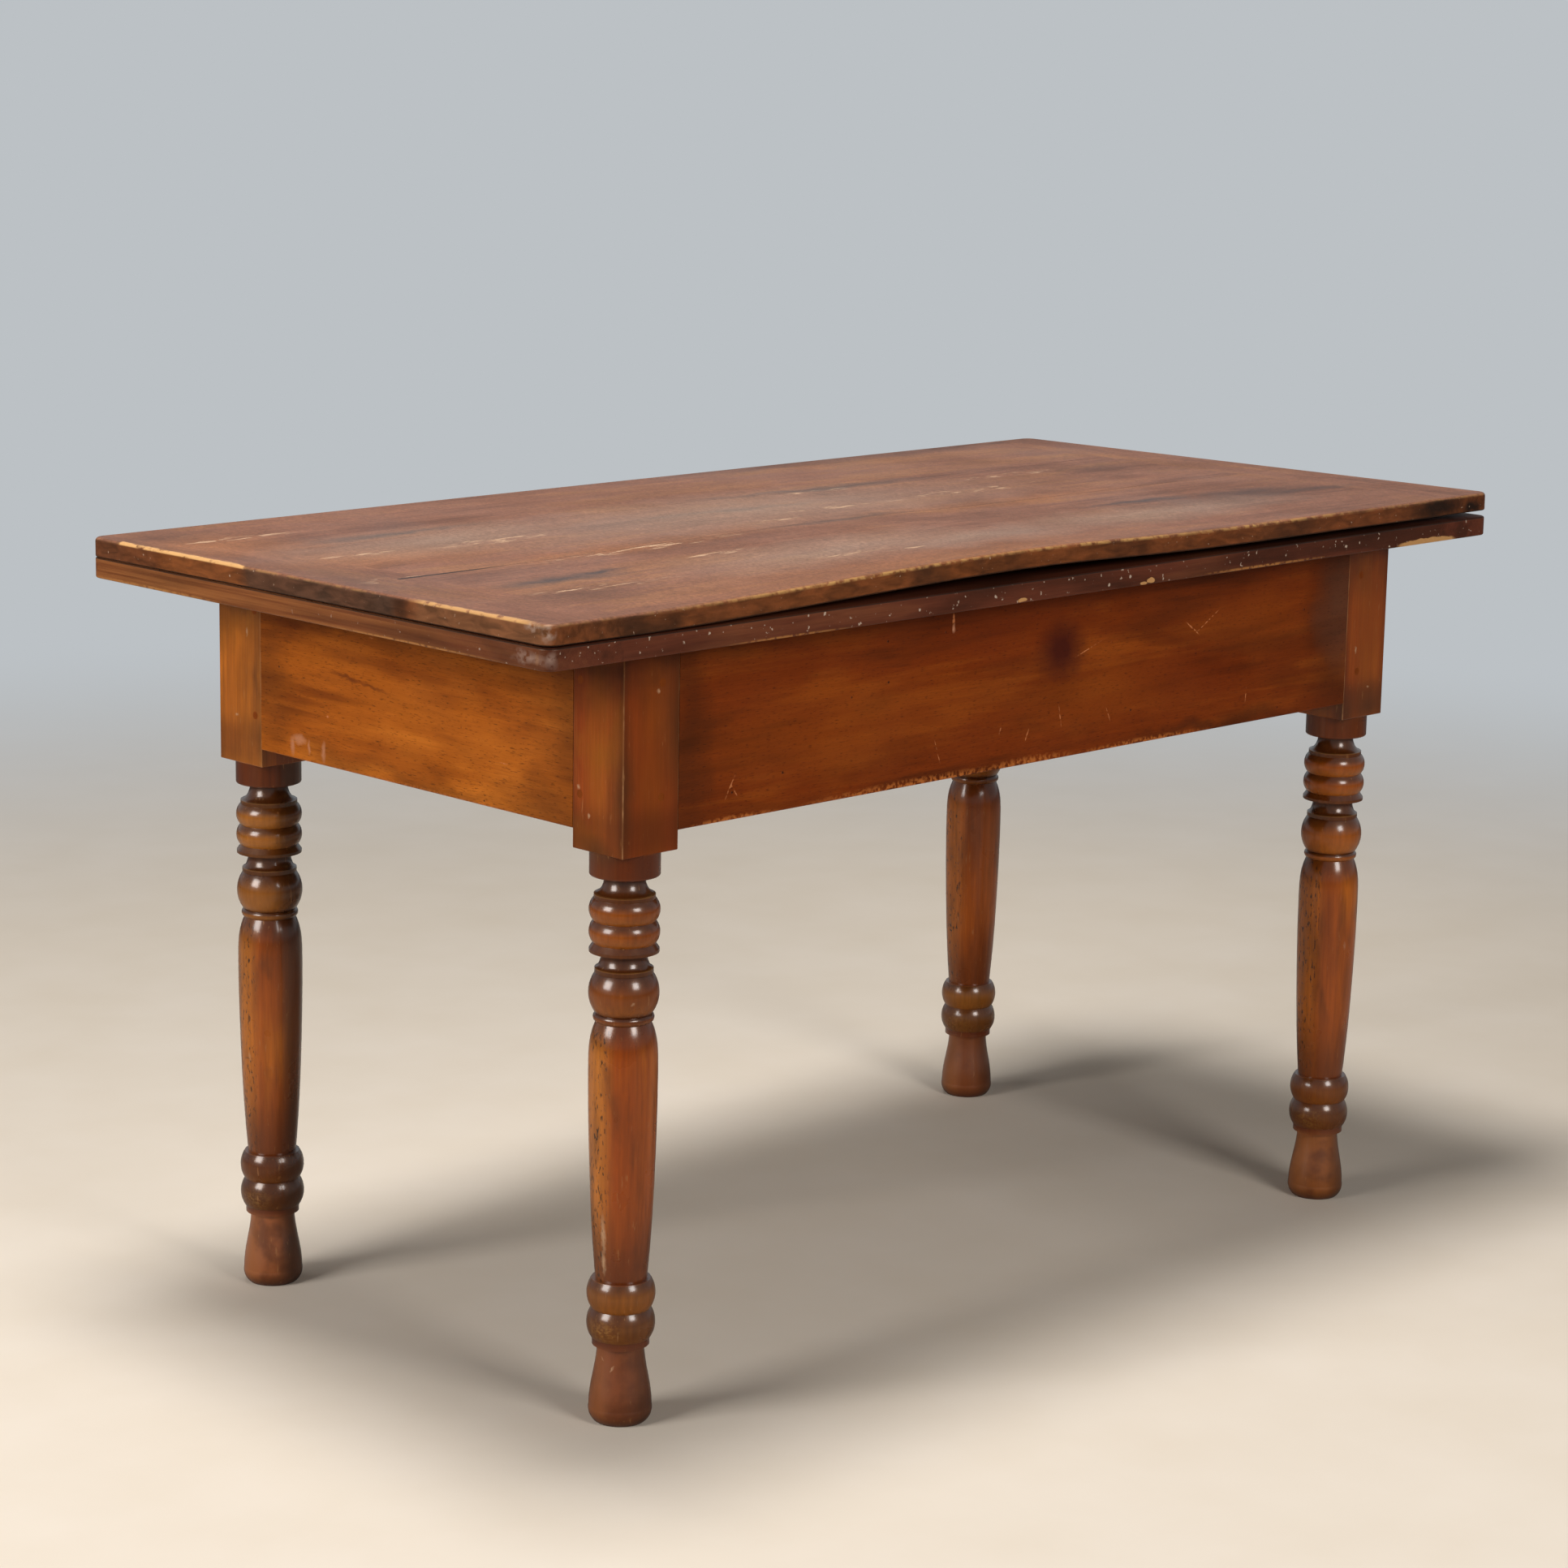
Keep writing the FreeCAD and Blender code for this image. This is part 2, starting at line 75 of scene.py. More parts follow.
def colour(code):
    """sRGB hex to a linear colour with full alpha."""
    channels = [int(code[i:i + 2], 16) / 255 for i in (0, 2, 4)]
    return [c / 12.92 if c <= 0.04045 else ((c + 0.055) / 1.055) ** 2.4 for c in channels] + [1.0]


def per_mm(size):
    """Texture scale, per metre, that makes a feature of this size in millimetres."""
    return 1 / (size * MM)


def add(tree, kind, out, inputs, **settings):
    """Add one node with its settings, link or set its inputs, and give back one output."""
    made = tree.nodes.new("ShaderNode" + kind)
    for key, value in settings.items():
        setattr(made, key, value)
    for key, value in inputs.items():
        if isinstance(value, bpy.types.NodeSocket):
            tree.links.new(value, made.inputs[key])
        else:
            made.inputs[key].default_value = value
    return made.outputs[out] if made.outputs else made


def begin(name):
    """Start an empty material, and give back it and its nodes."""
    material = bpy.data.materials.new(name)
    material.use_nodes = True
    material.node_tree.nodes.clear()
    return material, material.node_tree


def streaks(tree, place, grain, length, width, seed, detail=2.0, wander=0.0):
    """Noise drawn out along the grain into streaks of this length and width in millimetres."""
    stretch = [per_mm(width)] * 3
    stretch[grain] = per_mm(length)
    shift = (seed * 3.71, seed * 5.93, seed * 7.37)
    spread = add(tree, "VectorMath", 0, {0: place, 1: stretch, 2: shift}, operation="MULTIPLY_ADD")
    return add(tree, "TexNoise", 0, {"Vector": spread, "Scale": 1.0, "Detail": detail, "Distortion": wander})


def ragged(tree, place, size, reach, seed):
    """The place, pushed about by noise, so that marks drawn on it have uneven edges. Millimetres."""
    moved = add(tree, "VectorMath", 0, {0: place, 1: (seed, seed * 2.3, seed * 4.1)}, operation="ADD")
    push = add(tree, "TexNoise", 1, {"Vector": moved, "Scale": per_mm(size), "Detail": 3.0})
    centred = add(tree, "VectorMath", 0, {0: push, 1: (0.5, 0.5, 0.5)}, operation="SUBTRACT")
    reach_all = (2 * reach * MM,) * 3
    return add(tree, "VectorMath", 0, {0: centred, 1: reach_all, 2: place}, operation="MULTIPLY_ADD")


def spot(tree, place, centre, size, turn=(0.0, 0.0, 0.0)):
    """Soft mark in millimetres, one in its middle and nought past its size. It may be turned, in degrees."""
    local = add(tree, "Mapping", 0, {
        "Vector": place, "Location": [c * MM for c in centre],
        "Rotation": [math.radians(t) for t in turn], "Scale": [s * MM for s in size]}, vector_type="TEXTURE")
    return add(tree, "TexGradient", 1, {"Vector": local}, gradient_type="SPHERICAL")


def spots(tree, place, marks):
    """All of a list of marks together. Each is a centre, a size and, where it is turned, its turn."""
    together = 0.0
    for mark in marks:
        together = add(tree, "Math", 0, {0: spot(tree, place, *mark), 1: together}, operation="MAXIMUM")
    return together


def between(tree, value, low, high, soft):
    """One where a value in metres lies between two levels in millimetres, fading over a soft distance."""
    rise = add(tree, "MapRange", 0, {0: value, 1: (low - soft) * MM, 2: (low + soft) * MM},
               interpolation_type="SMOOTHSTEP")
    fall = add(tree, "MapRange", 0, {0: value, 1: (high - soft) * MM, 2: (high + soft) * MM, 3: 1.0, 4: 0.0},
               interpolation_type="SMOOTHSTEP")
    return add(tree, "Math", 0, {0: rise, 1: fall}, operation="MULTIPLY")


def grain_wood(tree, place, grain, seed, tones):
    """Bare look of old close-grained wood: clouds drawn out along the grain, figure and fibre."""
    deep, warm, bright = (colour(tone) for tone in tones)
    cloud = streaks(tree, place, grain, 260, 75, seed, 3.0, 0.4)
    figure = streaks(tree, place, grain, 170, 8, seed + 1, 3.0, 0.3)
    # Real fibre is finer than a pixel, so it is drawn about three times coarser
    fibre = streaks(tree, place, grain, 30, 1.3, seed + 2, 3.0)
    both = add(tree, "Math", 0, {0: figure, 1: 0.4, 2: cloud}, operation="MULTIPLY_ADD")
    low = add(tree, "MapRange", 0, {0: both, 1: 0.50, 2: 0.70}, interpolation_type="SMOOTHSTEP")
    high = add(tree, "MapRange", 0, {0: both, 1: 0.69, 2: 0.92}, interpolation_type="SMOOTHSTEP")
    wood = add(tree, "Mix", LAID, {0: low, UNDER: deep, OVER: warm}, data_type="RGBA")
    wood = add(tree, "Mix", LAID, {0: high, UNDER: wood, OVER: bright}, data_type="RGBA")
    shade = add(tree, "MapRange", 0, {0: fibre, 1: 0.3, 2: 0.7, 3: 0.87, 4: 1.11})
    wood = add(tree, "VectorMath", 0, {0: wood, "Scale": shade}, operation="SCALE")
    return wood, fibre


def lay(tree, amount, under, over, strength=1.0, *within):
    """Lay a hex colour over what is there, as far as a mask says and only within the other masks."""
    for mask in within:
        amount = add(tree, "Math", 0, {0: amount, 1: mask}, operation="MULTIPLY")
    part = add(tree, "Math", 0, {0: amount, 1: strength}, operation="MULTIPLY", use_clamp=True)
    return add(tree, "Mix", LAID, {0: part, UNDER: under, OVER: colour(over)}, data_type="RGBA")


def varnished(tree, wood, rough, relief, depth, gloss, coat, tint="ffffff"):
    """Close a wood material: the depth of its relief in millimetres, its gloss, coat and shellac tint."""
    bump = add(tree, "Bump", 0, {"Height": relief, "Distance": depth * MM})
    shader = add(tree, "BsdfPrincipled", 0, {
        "Base Color": wood, "Roughness": rough, "Normal": bump, "Specular IOR Level": gloss,
        "Specular Tint": colour(tint), "Coat Weight": coat, "Coat Roughness": COAT_ROUGHNESS})
    add(tree, "OutputMaterial", 0, {"Surface": shader})


# Aprons: planed walnut under old shellac, golden where the finish is thin, dark towards the joints, with
# painted shade under the leaf

FRONT_TONES = ("5e2506", "7c3208", "92450f")
END_TONES = ("803d0d", "a65715", "c26d20")
INSIDE_TONES = ("6b4a2e", "7f5a39", "94704a")
# How strongly the painted shade under the leaf darkens each apron
FRONT_LEAF_SHADE, END_LEAF_SHADE = 0.38, 0.84

# Marks by kind, each a centre, a size and, where it is turned, its turn. They are centred on the table's
# middle plane, so both aprons of a pair have them, and a larger size across that plane makes them stronger.
FRONT_MARKS = {
    "golden": [((-300, 0, 650), (260, 900, 60)), ((90, 0, 640), (220, 900, 42)),
               ((330, 0, 690), (150, 900, 45))],
    "red": [((-60, 0, 725), (170, 900, 50)), ((240, 0, 645), (120, 900, 30))],
    "shade": [((475, 0, 670), (60, 900, 150)), ((-490, 0, 670), (34, 900, 160)),
              ((490, 0, 592), (90, 900, 40)), ((280, 0, 584), (220, 900, 14))],
    "painted_sheen": [((496, 0, 700), (60, 900, 110))],
    "knot": [((29, 0, 694), (47, 900, 40))],
    "smear": [((-133, 0, 733), (3, 900, 6))],
    "scratch": [((-436, 0, 613), (1.2, 900, 15), (0, 30, 0)), ((-431, 0, 610), (1.0, 900, 10), (0, -35, 0)),
                ((237, 0, 694), (1.1, 900, 18), (0, -55, 0)), ((262, 0, 700), (0.8, 900, 26), (0, 60, 0)),
                ((-133, 0, 741), (2.2, 900, 9)), ((70, 0, 690), (0.8, 900, 26), (0, 72, 0)),
                ((-152, 0, 611), (0.9, 900, 15), (0, -20, 0)), ((-60, 0, 622), (0.9, 900, 12), (0, 20, 0)),
                ((-21, 0, 609), (1.0, 900, 12), (0, 25, 0)), ((30, 0, 625), (1.0, 900, 14), (0, -12, 0)),
                ((105, 0, 618), (0.8, 900, 10), (0, -25, 0)), ((330, 0, 612), (0.8, 900, 10), (0, 5, 0))],
    "wear": [((-180, 0, 581), (190, 900, 9)), ((-20, 0, 581), (90, 900, 10)), ((160, 0, 581), (130, 900, 7)),
             ((-430, 0, 581), (70, 900, 6))],
}
END_MARKS = {
    "golden": [((0, -18, 665), (900, 120, 40)), ((0, -140, 645), (900, 115, 38)),
               ((0, 110, 700), (900, 110, 30)), ((0, 25, 619), (1250, 80, 30)),
               ((0, -75, 690), (900, 60, 20))],
    "red": [((0, 60, 605), (900, 260, 24)), ((0, -200, 735), (900, 120, 22))],
    "shade": [((0, 222, 670), (900, 54, 140)), ((0, 120, 730), (900, 120, 22)),
              ((0, -236, 690), (1500, 64, 140)), ((0, -60, 586), (900, 240, 12)),
              ((0, 60, 745), (900, 320, 20)), ((0, -185, 716), (900, 80, 28)),
              ((0, -215, 592), (1500, 120, 50)), ((0, 115, 586), (1050, 100, 24)),
              ((0, -160, 742), (1000, 150, 42)), ((0, -20, 738), (900, 260, 34))],
    "painted_sheen": [],
    "knot": [((0, 95, 676), (900, 46, 4), (3, 0, 0)), ((0, 60, 672), (900, 40, 3.5), (5, 0, 0))],
    "smear": [((0, 176, 602), (900, 18, 9)), ((0, 187, 594), (900, 6, 15)), ((0, 160, 596), (900, 3, 12)),
              ((0, 137, 595), (900, 5, 16))],
    "scratch": [((0, -140, 627), (900, 9, 1.2)), ((0, 60, 721), (900, 5, 2)), ((0, 130, 632), (900, 3, 2))],
    "wear": [((0, 0, 581), (900, 270, 5))],
}


def apron_walnut(name, grain, seed, tones, marks, leaf_shade_strength, back):
    """Planed walnut with shellac: satin, streaked along the board, its inner face bare."""
    material, tree = begin(name)
    place = add(tree, "TexCoord", "Object", {})
    wood, fibre = grain_wood(tree, place, grain, seed, tones)
    uneven = ragged(tree, place, 60, 30, seed)
    wood = lay(tree, spots(tree, uneven, marks["golden"]), wood, tones[2], 0.75)
    wood = lay(tree, spots(tree, uneven, marks["red"]), wood, "6c2002", 0.55)
    wood = lay(tree, spots(tree, uneven, marks["shade"]), wood, "3a1b0b", 0.85)
    # Painted sheen: a pale grey haze where the apron is seen at a grazing angle
    wood = lay(tree, spots(tree, uneven, marks["painted_sheen"]), wood, "62402f", 1.0)
    smoke = streaks(tree, place, grain, 260, 45, seed + 3, 3.0, 0.6)
    smoky = add(tree, "MapRange", 0, {0: smoke, 1: 0.46, 2: 0.80}, interpolation_type="SMOOTHSTEP")
    wood = lay(tree, smoky, wood, "461d06", 0.6)
    knot = spots(tree, ragged(tree, place, 14, 6, seed), marks["knot"])
    wood = lay(tree, knot, wood, "4a180e", 1.7)

    level = add(tree, "SeparateXYZ", ALONG_Z, {0: place})
    # Painted shade under the leaf's overhang, darkest at the frame's top
    under_leaf_shade = add(tree, "MapRange", 0, {
        0: level, 1: FRAME_TOP - APRON_SHADE_LOW * MM, 2: FRAME_TOP - APRON_SHADE_HIGH * MM},
        interpolation_type="SMOOTHSTEP")
    wood = lay(tree, under_leaf_shade, wood, "2c1005", leaf_shade_strength)

    # Pores are too fine to show, so they are drawn about four times coarser. Worm holes have their real size.
    flecks = streaks(tree, place, grain, 7, 0.9, seed + 5, 1.0)
    pores = add(tree, "MapRange", 0, {0: flecks, 1: 0.60, 2: 0.74})
    wood = lay(tree, pores, wood, "2c1006", 0.6)
    holes = add(tree, "TexVoronoi", 0, {"Vector": place, "Scale": per_mm(23), "Randomness": 1.0})
    hole = add(tree, "MapRange", 0, {0: holes, 1: 0.065, 2: 0.040})
    few = add(tree, "MapRange", 0, {0: streaks(tree, place, grain, 120, 90, seed + 6, 1.0), 1: 0.49, 2: 0.55})
    worm = add(tree, "Math", 0, {0: hole, 1: few}, operation="MULTIPLY")
    wood = lay(tree, worm, wood, "1a0a04", 0.9)

    crumbs = add(tree, "TexNoise", 0, {"Vector": place, "Scale": per_mm(4), "Detail": 4.0})
    crumbled = add(tree, "MapRange", 0, {0: crumbs, 1: 0.42, 2: 0.58})
    wood = lay(tree, spots(tree, place, marks["wear"]), wood, "b5672e", 2.2, crumbled)
    smear = spots(tree, ragged(tree, place, 9, 4, seed), marks["smear"])
    wood = lay(tree, smear, wood, "bd8464", 1.7)
    wood = lay(tree, spots(tree, place, marks["scratch"]), wood, "c4794a", 2.8, crumbled)

    inside_wood = grain_wood(tree, place, grain, seed + 9, INSIDE_TONES)[0]
    across = ALONG_Y if grain == ALONG_X else ALONG_X
    from_middle = add(tree, "VectorMath", 0, {0: place}, operation="ABSOLUTE")
    depth = add(tree, "SeparateXYZ", across, {0: from_middle})
    inner = add(tree, "MapRange", 0, {0: depth, 1: back + 2 * MM, 2: back + 1 * MM})
    wood = add(tree, "Mix", LAID, {0: inner, UNDER: wood, OVER: inside_wood}, data_type="RGBA")

    handled = streaks(tree, place, grain, 90, 30, seed + 7, 3.0)
    satin = add(tree, "MapRange", 0, {0: handled, 1: 0.3, 2: 0.7, 3: 0.34, 4: 0.5})
    rough = add(tree, "Mix", 0, {0: inner, 2: satin, 3: 0.8})
    dents = add(tree, "TexNoise", 0, {"Vector": place, "Scale": per_mm(45), "Detail": 2.0})
    relief = add(tree, "Math", 0, {0: dents, 1: 4.0, 2: fibre}, operation="MULTIPLY_ADD")
    relief = add(tree, "Math", 0, {0: worm, 1: -3.0, 2: relief}, operation="MULTIPLY_ADD")
    varnished(tree, wood, rough, relief, depth=0.10, gloss=0.24, coat=0.0, tint=AMBER)
    return material


# Legs: turned walnut with a thick glossy shellac, dark in the hollows and golden on the swellings, partly
# rubbed and partly painted light

LEG_TONES = ("6c3006", "884009", "9c5412")

# Finish of each leg: tints of its turned part and of its square block, coat left on the block, colours of its
# beads, ball, rings and foot, how much painted light and fading its left and back get and how much painted
# shade its other sides get.
# The tints and colours differ from leg to leg partly as painted light, brighter or darker as each leg is lit.
LEG_FINISHES = {
    "leg_front_left": {
        "turned": (1.26, 1.16, 0.62, 1), "block": (1.03, 0.82, 1.7, 1), "block_coat": 0.1,
        "beads": "6c3812", "ball": "62300e", "rings": "6c431a", "foot": "68382a",
        "faded": 1.0, "side_shade": 0.0},
    "leg_front_right": {
        "turned": (1.58, 1.52, 0.8, 1), "block": (1.38, 1.34, 1.3, 1), "block_coat": WHOLE_COAT,
        "beads": "7a3c12", "ball": "884a1c", "rings": "4c2910", "foot": "704028",
        "faded": 0.45, "side_shade": 0.1},
    "leg_back_left": {
        "turned": (1.36, 1.38, 0.9, 1), "block": (2.8, 3.8, 4.8, 1), "block_coat": WHOLE_COAT,
        "beads": "905a26", "ball": "6c3d16", "rings": "2e1509", "foot": "804832",
        "faded": 0.6, "side_shade": 0.75},
    "leg_back_right": {
        "turned": (1.48, 1.45, 0.9, 1), "block": (0.95, 0.85, 0.6, 1), "block_coat": WHOLE_COAT,
        "beads": "683510", "ball": "683510", "rings": "6c431a", "foot": "5e301e",
        "faded": 0.35, "side_shade": 0.0},
}
# Stains on the blocks, partly painted shade, darker towards the joints with the aprons and under the leaf
LEG_STAINS_AND_SHADE = {
    "leg_front_left": [((-572, -307, 625), (20, 28, 90)), ((-503, -309, 680), (34, 22, 90)),
                       ((-572, -274, 564), (22, 48, 18)), ((-572, -262, 754), (24, 54, 26))],
    "leg_front_right": [((510, -309, 572), (24, 22, 34)), ((548, -309, 574), (36, 22, 30))],
    "leg_back_left": [((-572, 246, 656), (24, 30, 130)), ((-572, 262, 738), (24, 44, 34))],
    "leg_back_right": [((572, 250, 650), (24, 26, 80))],
}
LEG_NICKS = {
    "leg_front_left": [((-572, -225, 711), (9, 3, 4)), ((-572, -247, 622), (9, 3, 3)),
                       ((-572, -262, 597), (9, 2, 3)), ((-529, -309, 716), (3, 9, 3)),
                       ((-566, -274, 66), (9, 5, 1.1), (40, 0, 0)), ((-560, -286, 58), (9, 1, 5), (20, 0, 0)),
                       ((-552, -300, 420), (3, 9, 2)), ((-563, -279, 192), (12, 3.2, 26)),
                       ((-562, -278, 164), (12, 2.8, 16))],
    "leg_front_right": [((520, -309, 640), (2, 9, 5)), ((545, -309, 596), (3, 9, 2)),
                        ((530, -300, 300), (3, 9, 8))],
    "leg_back_left": [((-572, 262, 700), (9, 2, 6)), ((-572, 280, 612), (9, 3, 2)),
                      ((-562, 270, 250), (9, 3, 9))],
    "leg_back_right": [((572, 280, 690), (9, 3, 3)), ((548, 309, 610), (4, 9, 2)),
                       ((540, 300, 260), (3, 9, 7))],
}


def leg_places(tree, place, axis):
    """Where a point lies on a leg, which way it faces, and the parts and blotches that its finishes share."""
    leg = SimpleNamespace(place=place)
    leg.centred = add(tree, "VectorMath", 0, {0: place, 1: axis}, operation="SUBTRACT")
    leg.level = add(tree, "SeparateXYZ", ALONG_Z, {0: place})
    leg.facing = add(tree, "TexCoord", "Normal", {})
    leg.blotch = add(tree, "TexNoise", 0, {"Vector": place, "Scale": per_mm(38), "Detail": 4.0})
    leg.shaft = between(tree, leg.level, SHAFT_LOW, SHAFT_HIGH, 1)
    leg.foot = add(tree, "MapRange", 0, {0: leg.level, 1: (FOOT_HIGH + 4) * MM, 2: (FOOT_HIGH - 4) * MM})
    leg.block = add(tree, "MapRange", 0, {0: leg.level, 1: (BLOCK_LOW - 1) * MM, 2: BLOCK_LOW * MM})
    opposite = add(tree, "VectorMath", 0, {0: leg.centred, "Scale": -1.0}, operation="SCALE")
    leg.left = add(tree, "SeparateXYZ", ALONG_X, {0: opposite})
    leg.near = add(tree, "SeparateXYZ", ALONG_Y, {0: opposite})
    leg.left_back = add(tree, "Math", 0, {0: leg.near, 1: -0.8, 2: leg.left}, operation="MULTIPLY_ADD")
    # Painted light on the left and back of each leg, partly fading too, and painted shade on its other sides
    leg.faded = add(tree, "MapRange", 0, {0: leg.left_back, 1: 10 * MM, 2: 32 * MM},
                    interpolation_type="SMOOTHSTEP")
    leg.unfaded = add(tree, "MapRange", 0, {0: leg.left_back, 1: -4 * MM, 2: -28 * MM},
                      interpolation_type="SMOOTHSTEP")
    return leg


def bead_finish(tree, wood, leg, seed, finish):
    """Beads and rings: dark above and in the hollows, golden on the swell and below it, partly rubbed and
    partly painted light from the floor; a painted highlight on the cove lips and painted shade on the collar.
    """
    level, blotch = leg.level, leg.blotch
    flat = add(tree, "VectorMath", 0, {0: leg.centred, 1: (1, 1, 0)}, operation="MULTIPLY")
    radius = add(tree, "VectorMath", 1, {0: flat}, operation="LENGTH")
    up = add(tree, "SeparateXYZ", ALONG_Z, {0: leg.facing})
    beads = between(tree, level, SHAFT_HIGH, COLLAR_LOW, 1)
    rings = between(tree, level, RINGS_LOW, SHAFT_LOW, 1)
    knobs = add(tree, "Math", 0, {0: beads, 1: rings}, operation="MAXIMUM")
    wood = lay(tree, beads, wood, finish["beads"], 0.65)
    ball = between(tree, level, SHAFT_HIGH, LOWER_COVE_LOW, 1)
    wood = lay(tree, ball, wood, finish["ball"], 0.55)
    wood = lay(tree, rings, wood, finish["rings"], 0.75)
    # Golden below the swell: partly rubbed wear, partly painted light thrown up from the floor
    under = add(tree, "MapRange", 0, {0: up, 1: -0.05, 2: -0.55}, interpolation_type="SMOOTHSTEP")
    swells = add(tree, "Math", 0, {0: rings, 1: finish["faded"], 2: beads}, operation="MULTIPLY_ADD",
                 use_clamp=True)
    wood = lay(tree, under, wood, "804c18", 0.45, swells)
    above = add(tree, "MapRange", 0, {0: up, 1: 0.02, 2: 0.50}, interpolation_type="SMOOTHSTEP")
    wood = lay(tree, above, wood, "401d0c", 0.85, knobs)
    uneven = add(tree, "Math", 0, {0: blotch, 1: 4 * MM, 2: radius}, operation="MULTIPLY_ADD")
    hollow = add(tree, "MapRange", 0, {0: uneven, 1: 32.5 * MM, 2: 28 * MM}, interpolation_type="SMOOTHSTEP")
    wood = lay(tree, hollow, wood, "371608", 0.88, knobs)
    necks = between(tree, level, COVE_LOW, COLLAR_LOW, 0.4)
    lower_necks = between(tree, level, LOWER_COVE_LOW, DISC_HIGH, 0.4)
    necks = add(tree, "Math", 0, {0: necks, 1: lower_necks}, operation="MAXIMUM")
    wood = lay(tree, necks, wood, "42200f", 0.85)
    # A painted highlight line along the lip of each cove
    lip_highlight = between(tree, level, COVE_LOW + LIP_LOW, COVE_LOW + LIP_HIGH, 0.3)
    lower_lip_highlight = between(tree, level, LOWER_COVE_LOW + LIP_LOW, LOWER_COVE_LOW + LIP_HIGH, 0.3)
    lip_highlight = add(tree, "Math", 0, {0: lip_highlight, 1: lower_lip_highlight}, operation="MAXIMUM")
    wood = lay(tree, lip_highlight, wood, "966a48", 0.5, blotch)
    low_ring = between(tree, level, RINGS_LOW, LOW_RING_HIGH, 5)
    wood = lay(tree, low_ring, wood, "3c1d0c", 0.55)
    flecks = streaks(tree, leg.place, ALONG_Z, 2.2, 3.6, seed + 10, 3.0)
    fleck = add(tree, "MapRange", 0, {0: flecks, 1: 0.42, 2: 0.68})
    patch = spot(tree, leg.centred, (-33, -8, 96), (24, 24, 16))
    wood = lay(tree, fleck, wood, "8e653a", 0.85 * finish["faded"], patch)
    # Painted shade on the collar under the block
    collar_shade = between(tree, level, COLLAR_LOW, BLOCK_LOW, 0.5)
    return lay(tree, collar_shade, wood, "411607", 0.84)


def shaft_finish(tree, wood, leg, seed, finish):
    """Shaft: redder towards the front left, paler at the left and the back, partly faded and partly painted
    light, dark at both of its ends.
    """
    level, shaft = leg.level, leg.shaft
    corner = add(tree, "Math", 0, {0: leg.left, 1: leg.near}, operation="MINIMUM")
    corner = add(tree, "MapRange", 0, {0: corner, 1: 0.0, 2: 20 * MM}, interpolation_type="SMOOTHSTEP")
    wood = lay(tree, corner, wood, "7c3203", 0.55 * finish["faded"], shaft)
    # Paler on the left and back: partly fading, partly painted light
    wood = lay(tree, leg.faded, wood, "ac6c2c", 0.65 * finish["faded"], shaft)
    smudges = streaks(tree, leg.place, ALONG_Z, 80, 18, seed + 12, 4.0, 0.5)
    smudge = add(tree, "MapRange", 0, {0: smudges, 1: 0.48, 2: 0.74}, interpolation_type="SMOOTHSTEP")
    wood = lay(tree, smudge, wood, "43200c", 0.5, shaft)
    low = add(tree, "MapRange", 0, {0: level, 1: SHAFT_DIRT_HIGH * MM, 2: SHAFT_DIRT_LOW * MM},
              interpolation_type="SMOOTHSTEP")
    wood = lay(tree, low, wood, "50220c", 0.78, shaft)
    shoulder = add(tree, "MapRange", 0, {0: level, 1: SHOULDER_LOW * MM, 2: SHOULDER_HIGH * MM},
                   interpolation_type="SMOOTHSTEP")
    return lay(tree, shoulder, wood, "441c08", 0.85, shaft)


def foot_finish(tree, wood, leg, finish):
    """Foot: worn down to a dull red-brown under a dark band, dirty where it stands, with painted light on its
    left and back and painted shade on its other sides.
    """
    level, foot = leg.level, leg.foot
    band = between(tree, level, FOOT_HIGH, RINGS_LOW, 0.5)
    wood = lay(tree, band, wood, "45190a", 0.85)
    wood = lay(tree, foot, wood, finish["foot"], 0.85)
    stained = add(tree, "MapRange", 0, {0: leg.blotch, 1: 0.44, 2: 0.64}, interpolation_type="SMOOTHSTEP")
    wood = lay(tree, stained, wood, "4c2314", 0.75, foot)
    wood = lay(tree, leg.faded, wood, "90583a", 0.36, foot)
    floor_dirt = add(tree, "MapRange", 0, {0: level, 1: 14 * MM, 2: 0.0})
    wood = lay(tree, floor_dirt, wood, "2e150a", 0.7)
    return lay(tree, leg.unfaded, wood, "34190d", 0.5, foot)


